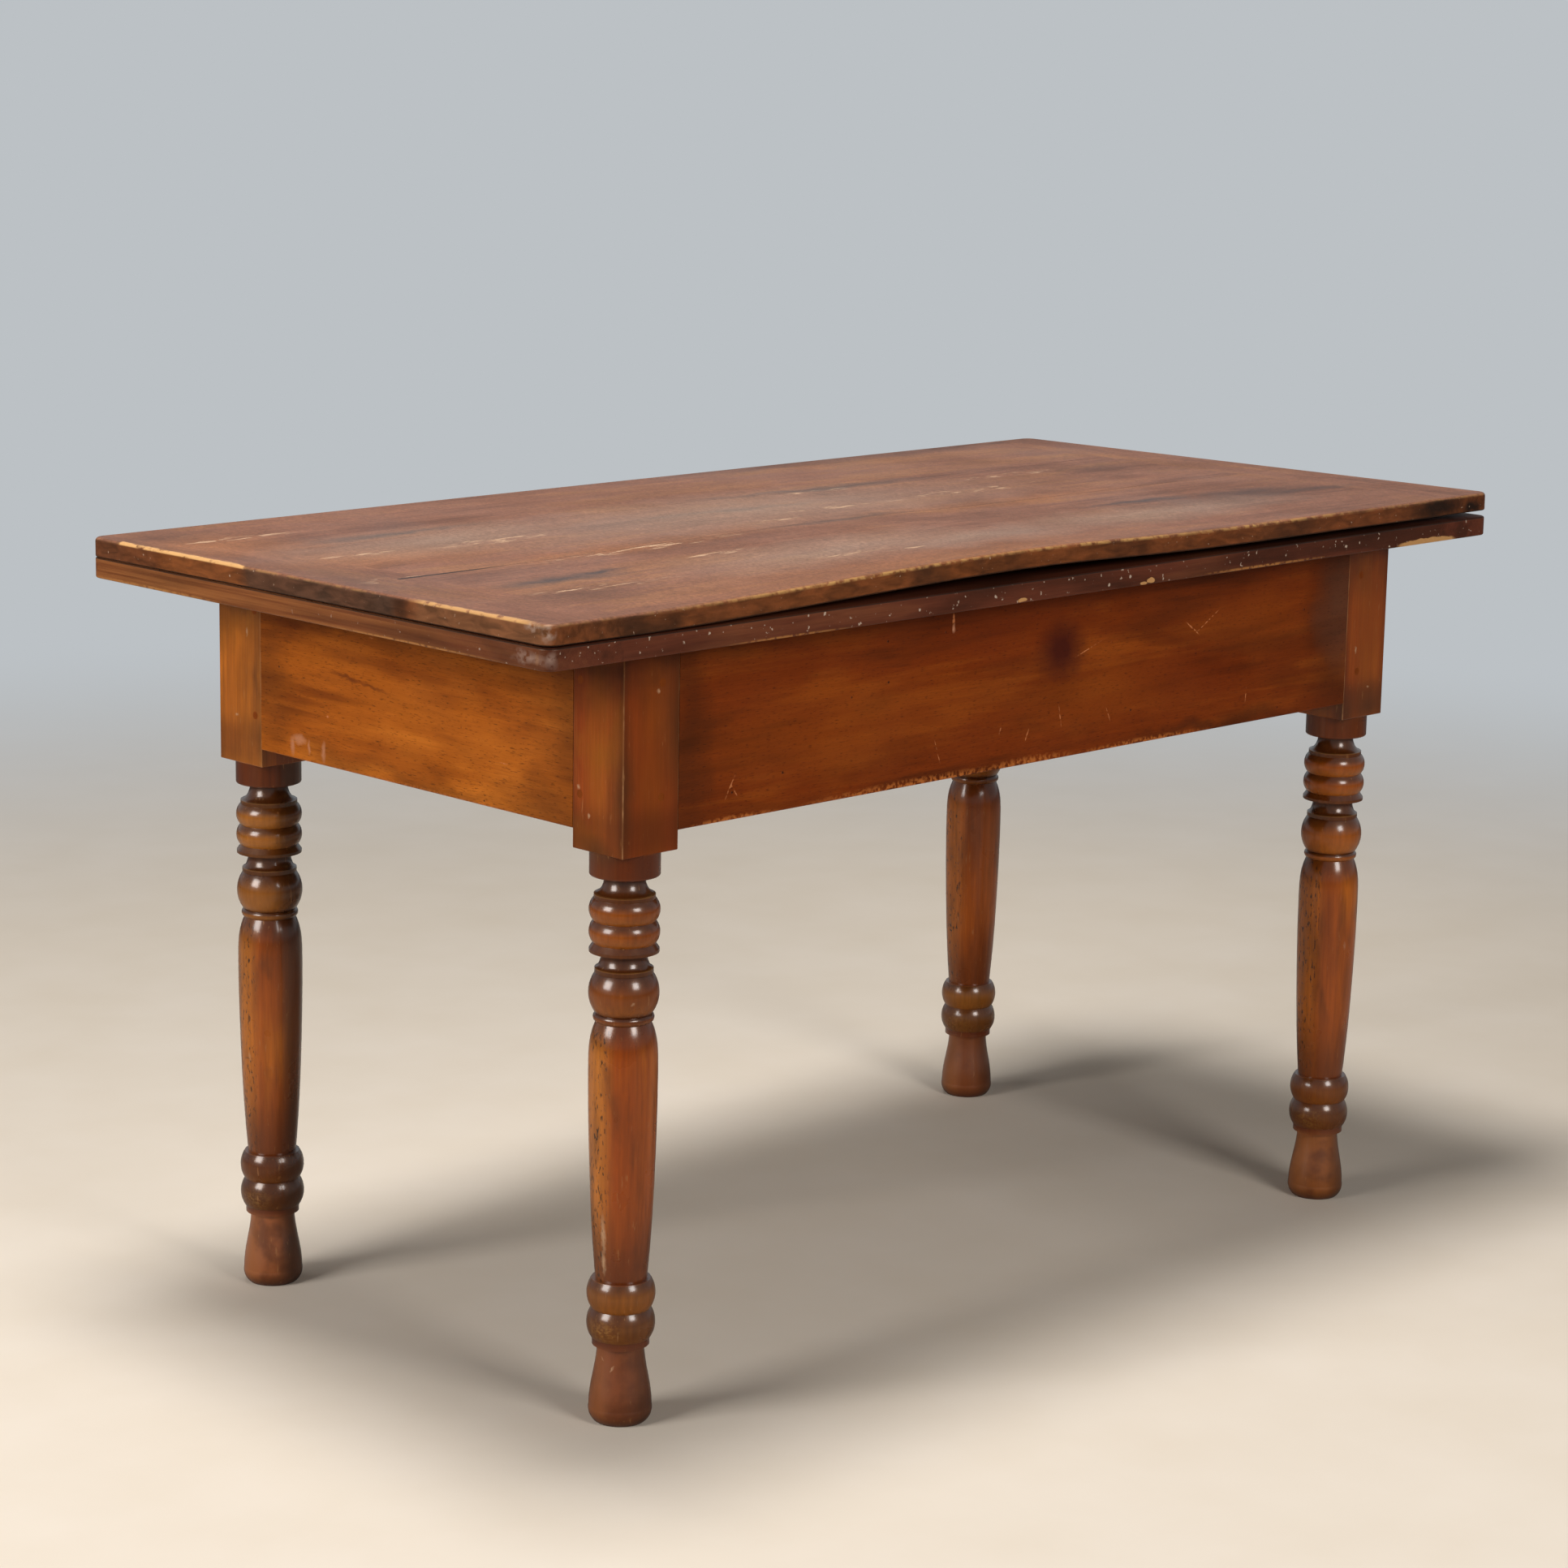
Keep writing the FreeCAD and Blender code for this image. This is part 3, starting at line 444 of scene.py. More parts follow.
def block_finish(tree, wood, leg, seed, stains_and_shade):
    """Square block: golden down the middle of each face, painted shade towards the top under the leaf, its
    arrises chipped pale.
    """
    place, level, block, blotch = leg.place, leg.level, leg.block, leg.blotch
    sides = add(tree, "VectorMath", 0, {0: leg.centred}, operation="ABSOLUTE")
    from_x = add(tree, "SeparateXYZ", ALONG_X, {0: sides})
    from_y = add(tree, "SeparateXYZ", ALONG_Y, {0: sides})
    beside = add(tree, "Math", 0, {0: from_x, 1: from_y}, operation="MINIMUM")
    strip = add(tree, "MapRange", 0, {0: beside, 1: 27 * MM, 2: 2 * MM}, interpolation_type="SMOOTHSTEP")
    wood = lay(tree, strip, wood, "92500e", 0.8, block, blotch)
    endwise = add(tree, "VectorMath", 0, {0: leg.facing}, operation="ABSOLUTE")
    endwise = add(tree, "SeparateXYZ", ALONG_X, {0: endwise})
    patchy = add(tree, "TexNoise", 0, {"Vector": place, "Scale": per_mm(85), "Detail": 5.0})
    golden = add(tree, "MapRange", 0, {0: patchy, 1: 0.40, 2: 0.62}, interpolation_type="SMOOTHSTEP")
    wood = lay(tree, golden, wood, "8e510f", 0.62, endwise, block)
    redder = add(tree, "Math", 0, {0: block, 1: endwise}, operation="SUBTRACT", use_clamp=True)
    wood = lay(tree, redder, wood, "823406", 0.45)
    # Painted shade under the leaf, darkest at the frame's top
    block_top_shade = add(tree, "MapRange", 0, {
        0: level, 1: FRAME_TOP - BLOCK_SHADE_LOW * MM, 2: FRAME_TOP - BLOCK_SHADE_HIGH * MM},
        interpolation_type="SMOOTHSTEP")
    wood = lay(tree, block_top_shade, wood, "1c0a04", 1.1, blotch)
    low_block = between(tree, level, BLOCK_LOW, APRON_LOW / MM + 22, 14)
    wood = lay(tree, low_block, wood, "4a1c06", 0.46, block)
    # Stains, partly painted shade near the apron joints and under the leaf
    stain_and_shade = spots(tree, ragged(tree, place, 30, 8, seed), stains_and_shade)
    wood = lay(tree, stain_and_shade, wood, "4f2a10", 0.85)
    edge = add(tree, "MapRange", 0, {0: beside, 1: HALF_BLOCK - 11 * MM, 2: HALF_BLOCK},
               interpolation_type="SMOOTHSTEP")
    wood = lay(tree, edge, wood, "3c1a08", 0.3, block)
    chips = add(tree, "TexNoise", 0, {"Vector": place, "Scale": per_mm(26), "Detail": 8.0})
    chipped = add(tree, "MapRange", 0, {0: chips, 1: 0.46, 2: 0.66, 3: 0.25, 4: 1.0})
    arris = add(tree, "MapRange", 0, {0: beside, 1: HALF_BLOCK - 1.3 * MM, 2: HALF_BLOCK - 0.4 * MM})
    return lay(tree, chipped, wood, "b88a5e", 0.75, arris, block)


def leg_walnut(name, seed, axis, finish, stains_and_shade, nicks):
    """Turned walnut under thick shellac: clear highlights on each bead, dirt kept in the hollows."""
    material, tree = begin(name)
    place = add(tree, "TexCoord", "Object", {})
    wood, fibre = grain_wood(tree, place, ALONG_Z, seed, LEG_TONES)
    leg = leg_places(tree, place, axis)
    wood = bead_finish(tree, wood, leg, seed, finish)
    wood = shaft_finish(tree, wood, leg, seed, finish)
    lines = streaks(tree, place, ALONG_Z, 150, 3.4, seed + 9, 3.0, 0.2)
    lined = add(tree, "MapRange", 0, {0: lines, 1: 0.32, 2: 0.68, 3: 0.86, 4: 1.12})
    wood = add(tree, "VectorMath", 0, {0: wood, "Scale": lined}, operation="SCALE")
    wood = foot_finish(tree, wood, leg, finish)
    # Painted shade on the sides turned away from the left
    wood = lay(tree, leg.unfaded, wood, "34190d", finish["side_shade"])
    tint = add(tree, "Mix", LAID, {0: leg.block, UNDER: finish["turned"], OVER: finish["block"]},
               data_type="RGBA")
    wood = add(tree, "VectorMath", 0, {0: wood, 1: tint}, operation="MULTIPLY")
    wood = block_finish(tree, wood, leg, seed, stains_and_shade)

    # Pits eaten into the left and the back, pale scuffs and single nicks
    side = add(tree, "MapRange", 0, {0: leg.left_back, 1: 14 * MM, 2: 28 * MM},
               interpolation_type="SMOOTHSTEP")
    pits = streaks(tree, place, ALONG_Z, 7.5, 2.4, seed + 5, 2.0)
    pit = add(tree, "MapRange", 0, {0: pits, 1: 0.60, 2: 0.66})
    eaten = streaks(tree, place, ALONG_Z, 120, 40, seed + 6, 2.0)
    eaten = add(tree, "MapRange", 0, {0: eaten, 1: 0.42, 2: 0.52})
    pit = add(tree, "Math", 0, {0: pit, 1: eaten}, operation="MULTIPLY")
    pit = add(tree, "Math", 0, {0: pit, 1: side}, operation="MULTIPLY")
    pit = add(tree, "Math", 0, {0: pit, 1: leg.shaft}, operation="MULTIPLY")
    wood = lay(tree, pit, wood, "1c0b05", 0.9)
    scuffs = streaks(tree, place, ALONG_Z, 22, 3.2, seed + 8, 4.0)
    scuff = add(tree, "MapRange", 0, {0: scuffs, 1: 0.66, 2: 0.75})
    wood = lay(tree, scuff, wood, "a87444", 0.5)
    nick = spots(tree, ragged(tree, place, 4, 2.2, seed), nicks)
    wood = lay(tree, nick, wood, "bc9470", 0.95)

    gloss = add(tree, "MapRange", 0, {0: leg.blotch, 1: 0.35, 2: 0.65, 3: 0.26, 4: 0.40})
    rough = add(tree, "Mix", 0, {0: leg.block, 2: gloss, 3: 0.45})
    rough = add(tree, "Mix", 0, {0: leg.foot, 2: rough, 3: 0.42})
    dents = add(tree, "TexNoise", 0, {"Vector": place, "Scale": per_mm(10), "Detail": 3.0})
    relief = add(tree, "Math", 0, {0: dents, 1: 1.4, 2: fibre}, operation="MULTIPLY_ADD")
    relief = add(tree, "Math", 0, {0: pit, 1: -5.0, 2: relief}, operation="MULTIPLY_ADD")
    coat = WHOLE_COAT
    if finish["block_coat"] < WHOLE_COAT:
        coat = add(tree, "Mix", 0, {0: leg.block, 2: WHOLE_COAT, 3: finish["block_coat"]})
    varnished(tree, wood, rough, relief, depth=0.12, gloss=0.36, coat=coat, tint=AMBER)
    return material


# Leaves: walnut boards with end cleats. The upper face is hazed, stained and scuffed by long use.

UPPER_TONES = ("724632", "8a5942", "986441")
LOWER_TONES = ("4a2416", "62301f", "744028")
PALE_AMBER = "ffd8b8"

# Marks on the upper face, each a centre, a size and, where it is turned, its turn
TOP_STAINS = [
    ((-521, -161, 800), (95, 24, 90)), ((-470, -150, 800), (60, 14, 90)), ((490, -172, 805), (95, 26, 90)),
    ((555, -198, 805), (95, 22, 90)), ((330, -150, 805), (110, 16, 90)), ((-77, 72, 803), (150, 16, 90)),
    ((-457, 174, 800), (150, 13, 90)), ((-40, -60, 803), (120, 14, 90)), ((150, 150, 803), (260, 18, 90)),
    ((628, 330, 800), (26, 9, 90), (0, 0, 20))]
TOP_SCUFFS = [
    ((108, 136, 803), (75, 9, 90)), ((-535, -212, 800), (80, 10, 90)), ((-470, -222, 800), (60, 6, 90)),
    ((-213, -244, 803), (60, 8, 90)), ((-142, -265, 805), (45, 7, 90)), ((380, 106, 803), (110, 14, 90)),
    ((246, 32, 803), (95, 16, 90)), ((-569, 85, 800), (60, 9, 90)), ((-405, 70, 800), (90, 16, 90)),
    ((-330, -70, 802), (170, 12, 90)), ((-120, -20, 803), (80, 9, 90)), ((40, 20, 803), (120, 10, 90)),
    ((-600, 250, 800), (100, 12, 90)), ((-300, -150, 803), (60, 8, 90)), ((-640, -60, 800), (40, 14, 90))]
TOP_BLOOM_AND_SHEEN = [
    ((-205, -215, 803), (260, 90, 90)), ((-60, 60, 803), (460, 150, 90)), ((-440, 110, 800), (260, 100, 90)),
    ((260, -225, 805), (280, 70, 90)), ((-40, -245, 803), (220, 60, 90))]
TOP_SHADE = [
    ((430, -200, 805), (200, 60, 90)), ((520, 90, 803), (90, 40, 90)), ((-560, -235, 800), (130, 50, 90)),
    ((-664, -40, 800), (60, 200, 90)), ((380, 335, 803), (420, 36, 90)), ((-655, 300, 800), (110, 50, 90))]
TOP_GOLD = [
    ((-200, -330, 800), (420, 60, 90)), ((-560, 60, 800), (150, 70, 90)), ((-330, -60, 800), (260, 40, 90)),
    ((-640, 230, 800), (120, 120, 90)), ((200, -60, 805), (320, 36, 90))]

# The joint behind the front board stands open near the left end: half its width, and where along the leaf it
# begins to open, is open and stops, in millimetres
CRACK_HALF_WIDTH = 2.6
CRACK_BEGINS, CRACK_OPEN, CRACK_STOPS = -500, -540, -635

# Marks on the edges of the upper leaf
RUB_FRONT = [
    ((-276, -350, 800), (270, 14, 90)), ((324, -350, 805), (125, 14, 90)), ((60, -350, 805), (180, 14, 90))]
EDGE_SMUDGES = [((605, -350, 796), (70, 40, 16)), ((668, -350, 792), (26, 40, 12))]
UPPER_CORNER_HIGHLIGHT = [((-696, -346, 792), (8, 8, 11)), ((-699, -330, 796), (8, 14, 5))]

# Stretches of the left end in millimetres, from the near corner to the far one, and their colours, and two
# stretches that have worn bare along the upper arris
END_STRETCHES = [(-345, -165, "7a5034"), (-135, 96, "4e382c"), (96, 225, "7c4622"), (240, 345, "663a22")]
NEAR_BARE, FAR_BARE = (-322, -170), (96, 300)

# Marks on the edges of the lower leaf
CHIPS = [
    ((585, -350, 759), (64, 7, 6.6)), ((117, -350, 762), (7, 6, 3.4)), ((106, -350, 760), (7, 6, 2.4)),
    ((-78, -350, 761), (8, 6, 2.6))]
LOWER_CORNER_WEAR_HIGHLIGHT = [((-699, -324, 769), (8, 24, 8)), ((-695, -346, 768), (8, 8, 11))]
NIBBLES = [
    ((-700, 240, 759), (6, 130, 3)), ((-700, -150, 759), (6, 150, 2)), ((-400, -350, 759), (90, 6, 2)),
    ((300, -350, 760), (120, 6, 2)), ((-697, -335, 768), (4, 5, 9))]

# The lower leaf's left end grows golden from its near corner to past its middle, in millimetres
GOLDEN_END_TONES = ("744020", "985e32")
END_DULL, END_GOLDEN = -360, 120


def leaf_sides(tree):
    """Parts of a leaf's surface, told by which way it faces: arrises, edges, upper side and under side."""
    facing = add(tree, "TexCoord", "Normal", {})
    sloping = add(tree, "VectorMath", 0, {0: facing}, operation="ABSOLUTE")
    up = add(tree, "SeparateXYZ", ALONG_Z, {0: facing})
    steep = add(tree, "SeparateXYZ", ALONG_Z, {0: sloping})
    sides = SimpleNamespace()
    sides.edge = add(tree, "MapRange", 0, {0: steep, 1: 0.75, 2: 0.35}, interpolation_type="SMOOTHSTEP")
    sides.upward = add(tree, "MapRange", 0, {0: up, 1: 0.20, 2: 0.45})
    rounded = add(tree, "MapRange", 0, {0: up, 1: 0.97, 2: 0.80})
    sides.arris = add(tree, "Math", 0, {0: rounded, 1: sides.upward}, operation="MULTIPLY")
    sides.low_arris = add(tree, "MapRange", 0, {0: up, 1: -0.15, 2: -0.40})
    sides.under = add(tree, "MapRange", 0, {0: up, 1: -0.9, 2: -0.98})
    return sides


def top_finish(tree, wood, place, uneven, cloud, grain, seed):
    """The upper face: golden where it is thin, stained, dulled by a grey bloom and painted sheen, gritty and
    scuffed.
    """
    wood = lay(tree, spots(tree, uneven, TOP_GOLD), wood, "a56532", 0.6)
    wood = lay(tree, spots(tree, uneven, TOP_STAINS), wood, "423634", 1.0)
    dull = add(tree, "MapRange", 0, {0: cloud, 1: 0.46, 2: 0.68})
    wood = lay(tree, dull, wood, "6c4636", 0.55)
    wood = lay(tree, spots(tree, uneven, TOP_SHADE), wood, "4c3026", 0.6)
    # Grey patches: partly bloom in the shellac, partly a painted reflection of the pale surroundings
    wood = lay(tree, spots(tree, uneven, TOP_BLOOM_AND_SHEEN), wood, "9e806c", 0.72)
    # Grit and hair scratches are too fine to show, so they are drawn a few times coarser
    grit = add(tree, "TexNoise", 0, {"Vector": place, "Scale": per_mm(3.2), "Detail": 6.0})
    gritty = add(tree, "MapRange", 0, {0: grit, 1: 0.30, 2: 0.70, 3: 0.70, 4: 1.22})
    mottle = streaks(tree, place, grain, 75, 20, MOTTLE_SEED, 5.0, 0.5)
    mottled = add(tree, "MapRange", 0, {0: mottle, 1: 0.30, 2: 0.70, 3: 0.90, 4: 1.09})
    gritty = add(tree, "Math", 0, {0: gritty, 1: mottled}, operation="MULTIPLY")
    speckle = streaks(tree, place, ALONG_Y, 11, 4.5, SPECKLE_SEED, 2.0)
    speckle = add(tree, "MapRange", 0, {0: speckle, 1: 0.3, 2: 0.7, 3: 0.88, 4: 1.11})
    gritty = add(tree, "Math", 0, {0: gritty, 1: speckle}, operation="MULTIPLY")
    wood = add(tree, "VectorMath", 0, {0: wood, "Scale": gritty}, operation="SCALE")
    slant = add(tree, "Mapping", 0, {"Vector": place, "Rotation": (0, 0, 0.35)})
    hair = streaks(tree, slant, ALONG_X, 70, 1.6, HAIR_SEED, 2.0)
    hair = add(tree, "MapRange", 0, {0: hair, 1: 0.68, 2: 0.73})
    wood = lay(tree, hair, wood, "b98a6a", 0.4)

    dashes = streaks(tree, place, ALONG_X, 24, 5.0, DASH_SEED, 4.0)
    dash = add(tree, "MapRange", 0, {0: dashes, 1: 0.55, 2: 0.60})
    scuff = spots(tree, ragged(tree, place, 40, 14, 5.0), TOP_SCUFFS)
    wood = lay(tree, dash, wood, "c8a07e", 1.8, scuff)
    stray = add(tree, "MapRange", 0, {0: dashes, 1: 0.72, 2: 0.76})
    wood = lay(tree, stray, wood, "c4946c", 0.55)
    dark_dashes = streaks(tree, place, grain, 45, 2.2, seed + 7, 3.0)
    dark = add(tree, "MapRange", 0, {0: dark_dashes, 1: 0.65, 2: 0.74})
    wood = lay(tree, dark, wood, "4a2a1c", 0.35)

    away = add(tree, "SeparateXYZ", ALONG_Y, {0: place})
    along = add(tree, "SeparateXYZ", ALONG_X, {0: place})
    at_joint = add(tree, "Math", 0, {0: away, 1: FRONT_JOINT, 2: CRACK_HALF_WIDTH * MM}, operation="COMPARE")
    opened = add(tree, "MapRange", 0, {0: along, 1: CRACK_BEGINS * MM, 2: CRACK_OPEN * MM, 3: 0.15, 4: 1.0})
    short_of_end = add(tree, "Math", 0, {0: along, 1: CRACK_STOPS * MM}, operation="GREATER_THAN")
    opened = add(tree, "Math", 0, {0: opened, 1: short_of_end}, operation="MULTIPLY")
    return lay(tree, at_joint, wood, "1c0c06", 0.95, opened)


def upper_edge_finish(tree, wood, place, grain, sides, crumbs, crumbled):
    """Edges of the upper leaf: grimy and smudged, rubbed pale along the arris and bare in places, with a
    painted highlight on the near corner and painted shade along the low arris.
    """
    away = add(tree, "SeparateXYZ", ALONG_Y, {0: place})
    along = add(tree, "SeparateXYZ", ALONG_X, {0: place})
    grime = add(tree, "TexNoise", 0, {"Vector": place, "Scale": per_mm(80), "Detail": 5.0})
    grimy = add(tree, "MapRange", 0, {0: grime, 1: 0.42, 2: 0.66}, interpolation_type="SMOOTHSTEP")
    edge_wood = lay(tree, 0.85, wood, "703a18")
    edge_wood = lay(tree, grimy, edge_wood, "2c1a12", 0.75)
    smudge = spots(tree, ragged(tree, place, 18, 8, 14.0), EDGE_SMUDGES)
    edge_wood = lay(tree, smudge, edge_wood, "22110a", 1.3)
    end = add(tree, "MapRange", 0, {0: along, 1: -LEAF_END + 9 * MM, 2: -LEAF_END + 4 * MM})
    jagged = add(tree, "SeparateXYZ", ALONG_Y, {0: ragged(tree, place, 20, 9, 6.0)})
    for low, high, tone in END_STRETCHES:
        edge_wood = lay(tree, between(tree, jagged, low, high, 12), edge_wood, tone, 0.75, end)
    dirt = streaks(tree, place, grain, 26, 8, DIRT_SEED, 6.0, 0.6)
    dirty = add(tree, "MapRange", 0, {0: dirt, 1: 0.34, 2: 0.66, 3: 0.62, 4: 1.30})
    edge_wood = add(tree, "VectorMath", 0, {0: edge_wood, "Scale": dirty}, operation="SCALE")
    specks = add(tree, "TexNoise", 0, {"Vector": place, "Scale": per_mm(5), "Detail": 3.0})
    speck = add(tree, "MapRange", 0, {0: specks, 1: 0.68, 2: 0.72})
    edge_wood = lay(tree, speck, edge_wood, "b89a80", 0.7)
    wood = add(tree, "Mix", LAID, {0: sides.edge, UNDER: wood, OVER: edge_wood}, data_type="RGBA")

    rub = spots(tree, ragged(tree, place, 30, 10, 3.0), RUB_FRONT)
    patchy = add(tree, "MapRange", 0, {0: grime, 1: 0.62, 2: 0.42})
    rubbed = add(tree, "Math", 0, {0: patchy, 1: 0.35, 2: rub}, operation="MULTIPLY_ADD", use_clamp=True)
    wood = lay(tree, sides.arris, wood, "b4864f", 1.0, crumbled, rubbed)
    # Left end: bare gold along the arris, broken off short, and bare again up to the near corner
    far_bare = between(tree, away, *FAR_BARE, 2)
    near_bare = between(tree, jagged, *NEAR_BARE, 16)
    bare = add(tree, "Math", 0, {0: near_bare, 1: 0.75, 2: far_bare}, operation="MULTIPLY_ADD")
    frayed = add(tree, "SeparateXYZ", ALONG_X, {0: ragged(tree, place, 24, 5, 8.0)})
    rim = add(tree, "MapRange", 0, {0: frayed, 1: -LEAF_END + 6 * MM, 2: -LEAF_END + 4 * MM})
    rim = add(tree, "Math", 0, {0: rim, 1: sides.upward}, operation="MULTIPLY")
    worn_through = add(tree, "MapRange", 0, {0: crumbs, 1: 0.30, 2: 0.46})
    wood = lay(tree, bare, wood, "d3a066", 1.0, rim, worn_through)
    # Painted highlight on the worn near corner, partly pale wear
    shine = spots(tree, ragged(tree, place, 7, 3, 4.0), UPPER_CORNER_HIGHLIGHT)
    wood = lay(tree, shine, wood, "ac9484", 1.0, crumbled)
    # Painted shade along the low arris, in the gap above the lower leaf
    return lay(tree, sides.low_arris, wood, "140a06", 0.85)


def upper_leaf_walnut(name, grain, seed):
    """Old table-top walnut: red-brown under a grey bloom and painted sheen, with stains, scuffs and rubbed
    pale arrises.
    """
    material, tree = begin(name)
    place = add(tree, "TexCoord", "Object", {})
    wood, fibre = grain_wood(tree, place, grain, seed, UPPER_TONES)
    sides = leaf_sides(tree)
    uneven = ragged(tree, place, 70, 30, 2.0)
    cloud = add(tree, "TexNoise", 0, {"Vector": uneven, "Scale": per_mm(150), "Detail": 4.0})
    crumbs = add(tree, "TexNoise", 0, {"Vector": place, "Scale": per_mm(9), "Detail": 6.0})
    crumbled = add(tree, "MapRange", 0, {0: crumbs, 1: 0.40, 2: 0.56})
    wood = top_finish(tree, wood, place, uneven, cloud, grain, seed)
    wood = upper_edge_finish(tree, wood, place, grain, sides, crumbs, crumbled)
    inner_wood = grain_wood(tree, place, grain, seed + 11, LOWER_TONES)[0]
    wood = add(tree, "Mix", LAID, {0: sides.under, UNDER: wood, OVER: inner_wood}, data_type="RGBA")
    bloom = add(tree, "MapRange", 0, {0: cloud, 1: 0.3, 2: 0.7, 3: 0.34, 4: 0.50})
    bloom = add(tree, "Mix", 0, {0: sides.under, 2: bloom, 3: 0.55})
    dents = add(tree, "TexNoise", 0, {"Vector": place, "Scale": per_mm(60), "Detail": 3.0})
    relief = add(tree, "Math", 0, {0: dents, 1: 3.0, 2: fibre}, operation="MULTIPLY_ADD")
    relief = add(tree, "Math", 0, {0: crumbled, 1: sides.arris, 2: relief}, operation="MULTIPLY_ADD")
    varnished(tree, wood, bloom, relief, depth=0.14, gloss=0.42, coat=0.0, tint=AMBER)
    return material


def lower_leaf_walnut(name, grain, seed):
    """Walnut kept dark under the upper leaf: reddish shellac on its edges, bare and dull underneath."""
    material, tree = begin(name)
    place = add(tree, "TexCoord", "Object", {})
    wood, fibre = grain_wood(tree, place, grain, seed, LOWER_TONES)
    sides = leaf_sides(tree)
    dull, golden = (colour(tone) for tone in GOLDEN_END_TONES)
    lines = streaks(tree, place, ALONG_Y, 220, 3, END_LINE_SEED, 3.0)
    lines = add(tree, "MapRange", 0, {0: lines, 1: 0.35, 2: 0.65})
    end_wood = add(tree, "Mix", LAID, {0: lines, UNDER: dull, OVER: golden}, data_type="RGBA")
    along = add(tree, "SeparateXYZ", ALONG_X, {0: place})
    end = add(tree, "MapRange", 0, {0: along, 1: -LEAF_END + 5 * MM, 2: -LEAF_END + 1 * MM})
    away = add(tree, "SeparateXYZ", ALONG_Y, {0: place})
    far = add(tree, "MapRange", 0, {0: away, 1: END_DULL * MM, 2: END_GOLDEN * MM, 3: 0.25, 4: 1.0})
    golden_end = add(tree, "Math", 0, {0: end, 1: far}, operation="MULTIPLY")
    wood = add(tree, "Mix", LAID, {0: golden_end, UNDER: wood, OVER: end_wood}, data_type="RGBA")
    grime = streaks(tree, place, grain, 240, 42, seed + 4, 5.0, 0.5)
    grimy = add(tree, "MapRange", 0, {0: grime, 1: 0.46, 2: 0.70}, interpolation_type="SMOOTHSTEP")
    wood = lay(tree, grimy, wood, "2c1208", 0.55)
    specks = add(tree, "TexNoise", 0, {"Vector": place, "Scale": per_mm(5.5), "Detail": 3.0})
    speck = add(tree, "MapRange", 0, {0: specks, 1: 0.67, 2: 0.71})
    speck = add(tree, "Math", 0, {0: speck, 1: sides.edge}, operation="MULTIPLY")
    speck = add(tree, "Math", 0, {0: speck, 1: golden_end}, operation="SUBTRACT", use_clamp=True)
    wood = lay(tree, speck, wood, "c4ae9a", 0.9)
    crumbs = add(tree, "TexNoise", 0, {"Vector": place, "Scale": per_mm(6), "Detail": 4.0})
    crumbled = add(tree, "MapRange", 0, {0: crumbs, 1: 0.36, 2: 0.52})
    wood = lay(tree, spots(tree, place, NIBBLES), wood, "a8703c", 1.6, crumbled)
    chip = spots(tree, ragged(tree, place, 12, 2.0, 9.0), CHIPS)
    chip = add(tree, "MapRange", 0, {0: chip, 1: 0.12, 2: 0.26})
    wood = lay(tree, chip, wood, "cc9860", 0.95)
    # Worn near corner: pale wear with a painted highlight
    worn_corner_highlight = spots(tree, ragged(tree, place, 22, 8, 12.0), LOWER_CORNER_WEAR_HIGHLIGHT)
    wood = lay(tree, worn_corner_highlight, wood, "9c8072", 0.85, crumbled)
    # Painted shade along the upper arris, in the gap under the upper leaf
    wood = lay(tree, sides.arris, wood, "160a05", 0.8)
    bare_wood = grain_wood(tree, place, grain, seed + 13, INSIDE_TONES)[0]
    wood = add(tree, "Mix", LAID, {0: sides.under, UNDER: wood, OVER: bare_wood}, data_type="RGBA")
    satin = add(tree, "MapRange", 0, {0: crumbs, 1: 0.3, 2: 0.7, 3: 0.34, 4: 0.5})
    rough = add(tree, "Mix", 0, {0: sides.under, 2: satin, 3: 0.8})
    rough = add(tree, "Mix", 0, {0: sides.upward, 2: rough, 3: 0.55})
    dents = add(tree, "TexNoise", 0, {"Vector": place, "Scale": per_mm(50), "Detail": 3.0})
    relief = add(tree, "Math", 0, {0: dents, 1: 3.0, 2: fibre}, operation="MULTIPLY_ADD")
    varnished(tree, wood, rough, relief, depth=0.12, gloss=0.36, coat=0.05, tint=PALE_AMBER)
    return material


# Hidden woods and the ironwork

def bare_poplar(name, seed):
    """Sawn poplar, never finished: pale tan with saw marks across the grain and a dry matt surface."""
    material, tree = begin(name)
    place = add(tree, "TexCoord", "Object", {})
    wood, fibre = grain_wood(tree, place, ALONG_Y, seed, ("8c7248", "a5895c", "bda277"))
    saw = streaks(tree, place, ALONG_X, 200, 3.2, seed + 4, 1.0)
    mark = add(tree, "MapRange", 0, {0: saw, 1: 0.45, 2: 0.65})
    wood = lay(tree, mark, wood, "6f5636", 0.4)
    relief = add(tree, "Math", 0, {0: saw, 1: 2.0, 2: fibre}, operation="MULTIPLY_ADD")
    varnished(tree, wood, 0.78, relief, depth=0.2, gloss=0.3, coat=0.0)
    return material


def peg_walnut(name):
    """Whittled pegs, their end grain dark with soaked-in shellac."""
    material, tree = begin(name)
    place = add(tree, "TexCoord", "Object", {})
    wood = grain_wood(tree, place, ALONG_Z, PEG_SEED, ("6c3006", "7c3808", "8a440c"))[0]
    rays = add(tree, "TexNoise", 0, {"Vector": place, "Scale": per_mm(1.2), "Detail": 2.0})
    varnished(tree, wood, 0.42, rays, depth=0.25, gloss=0.3, coat=0.0, tint=AMBER)
    return material


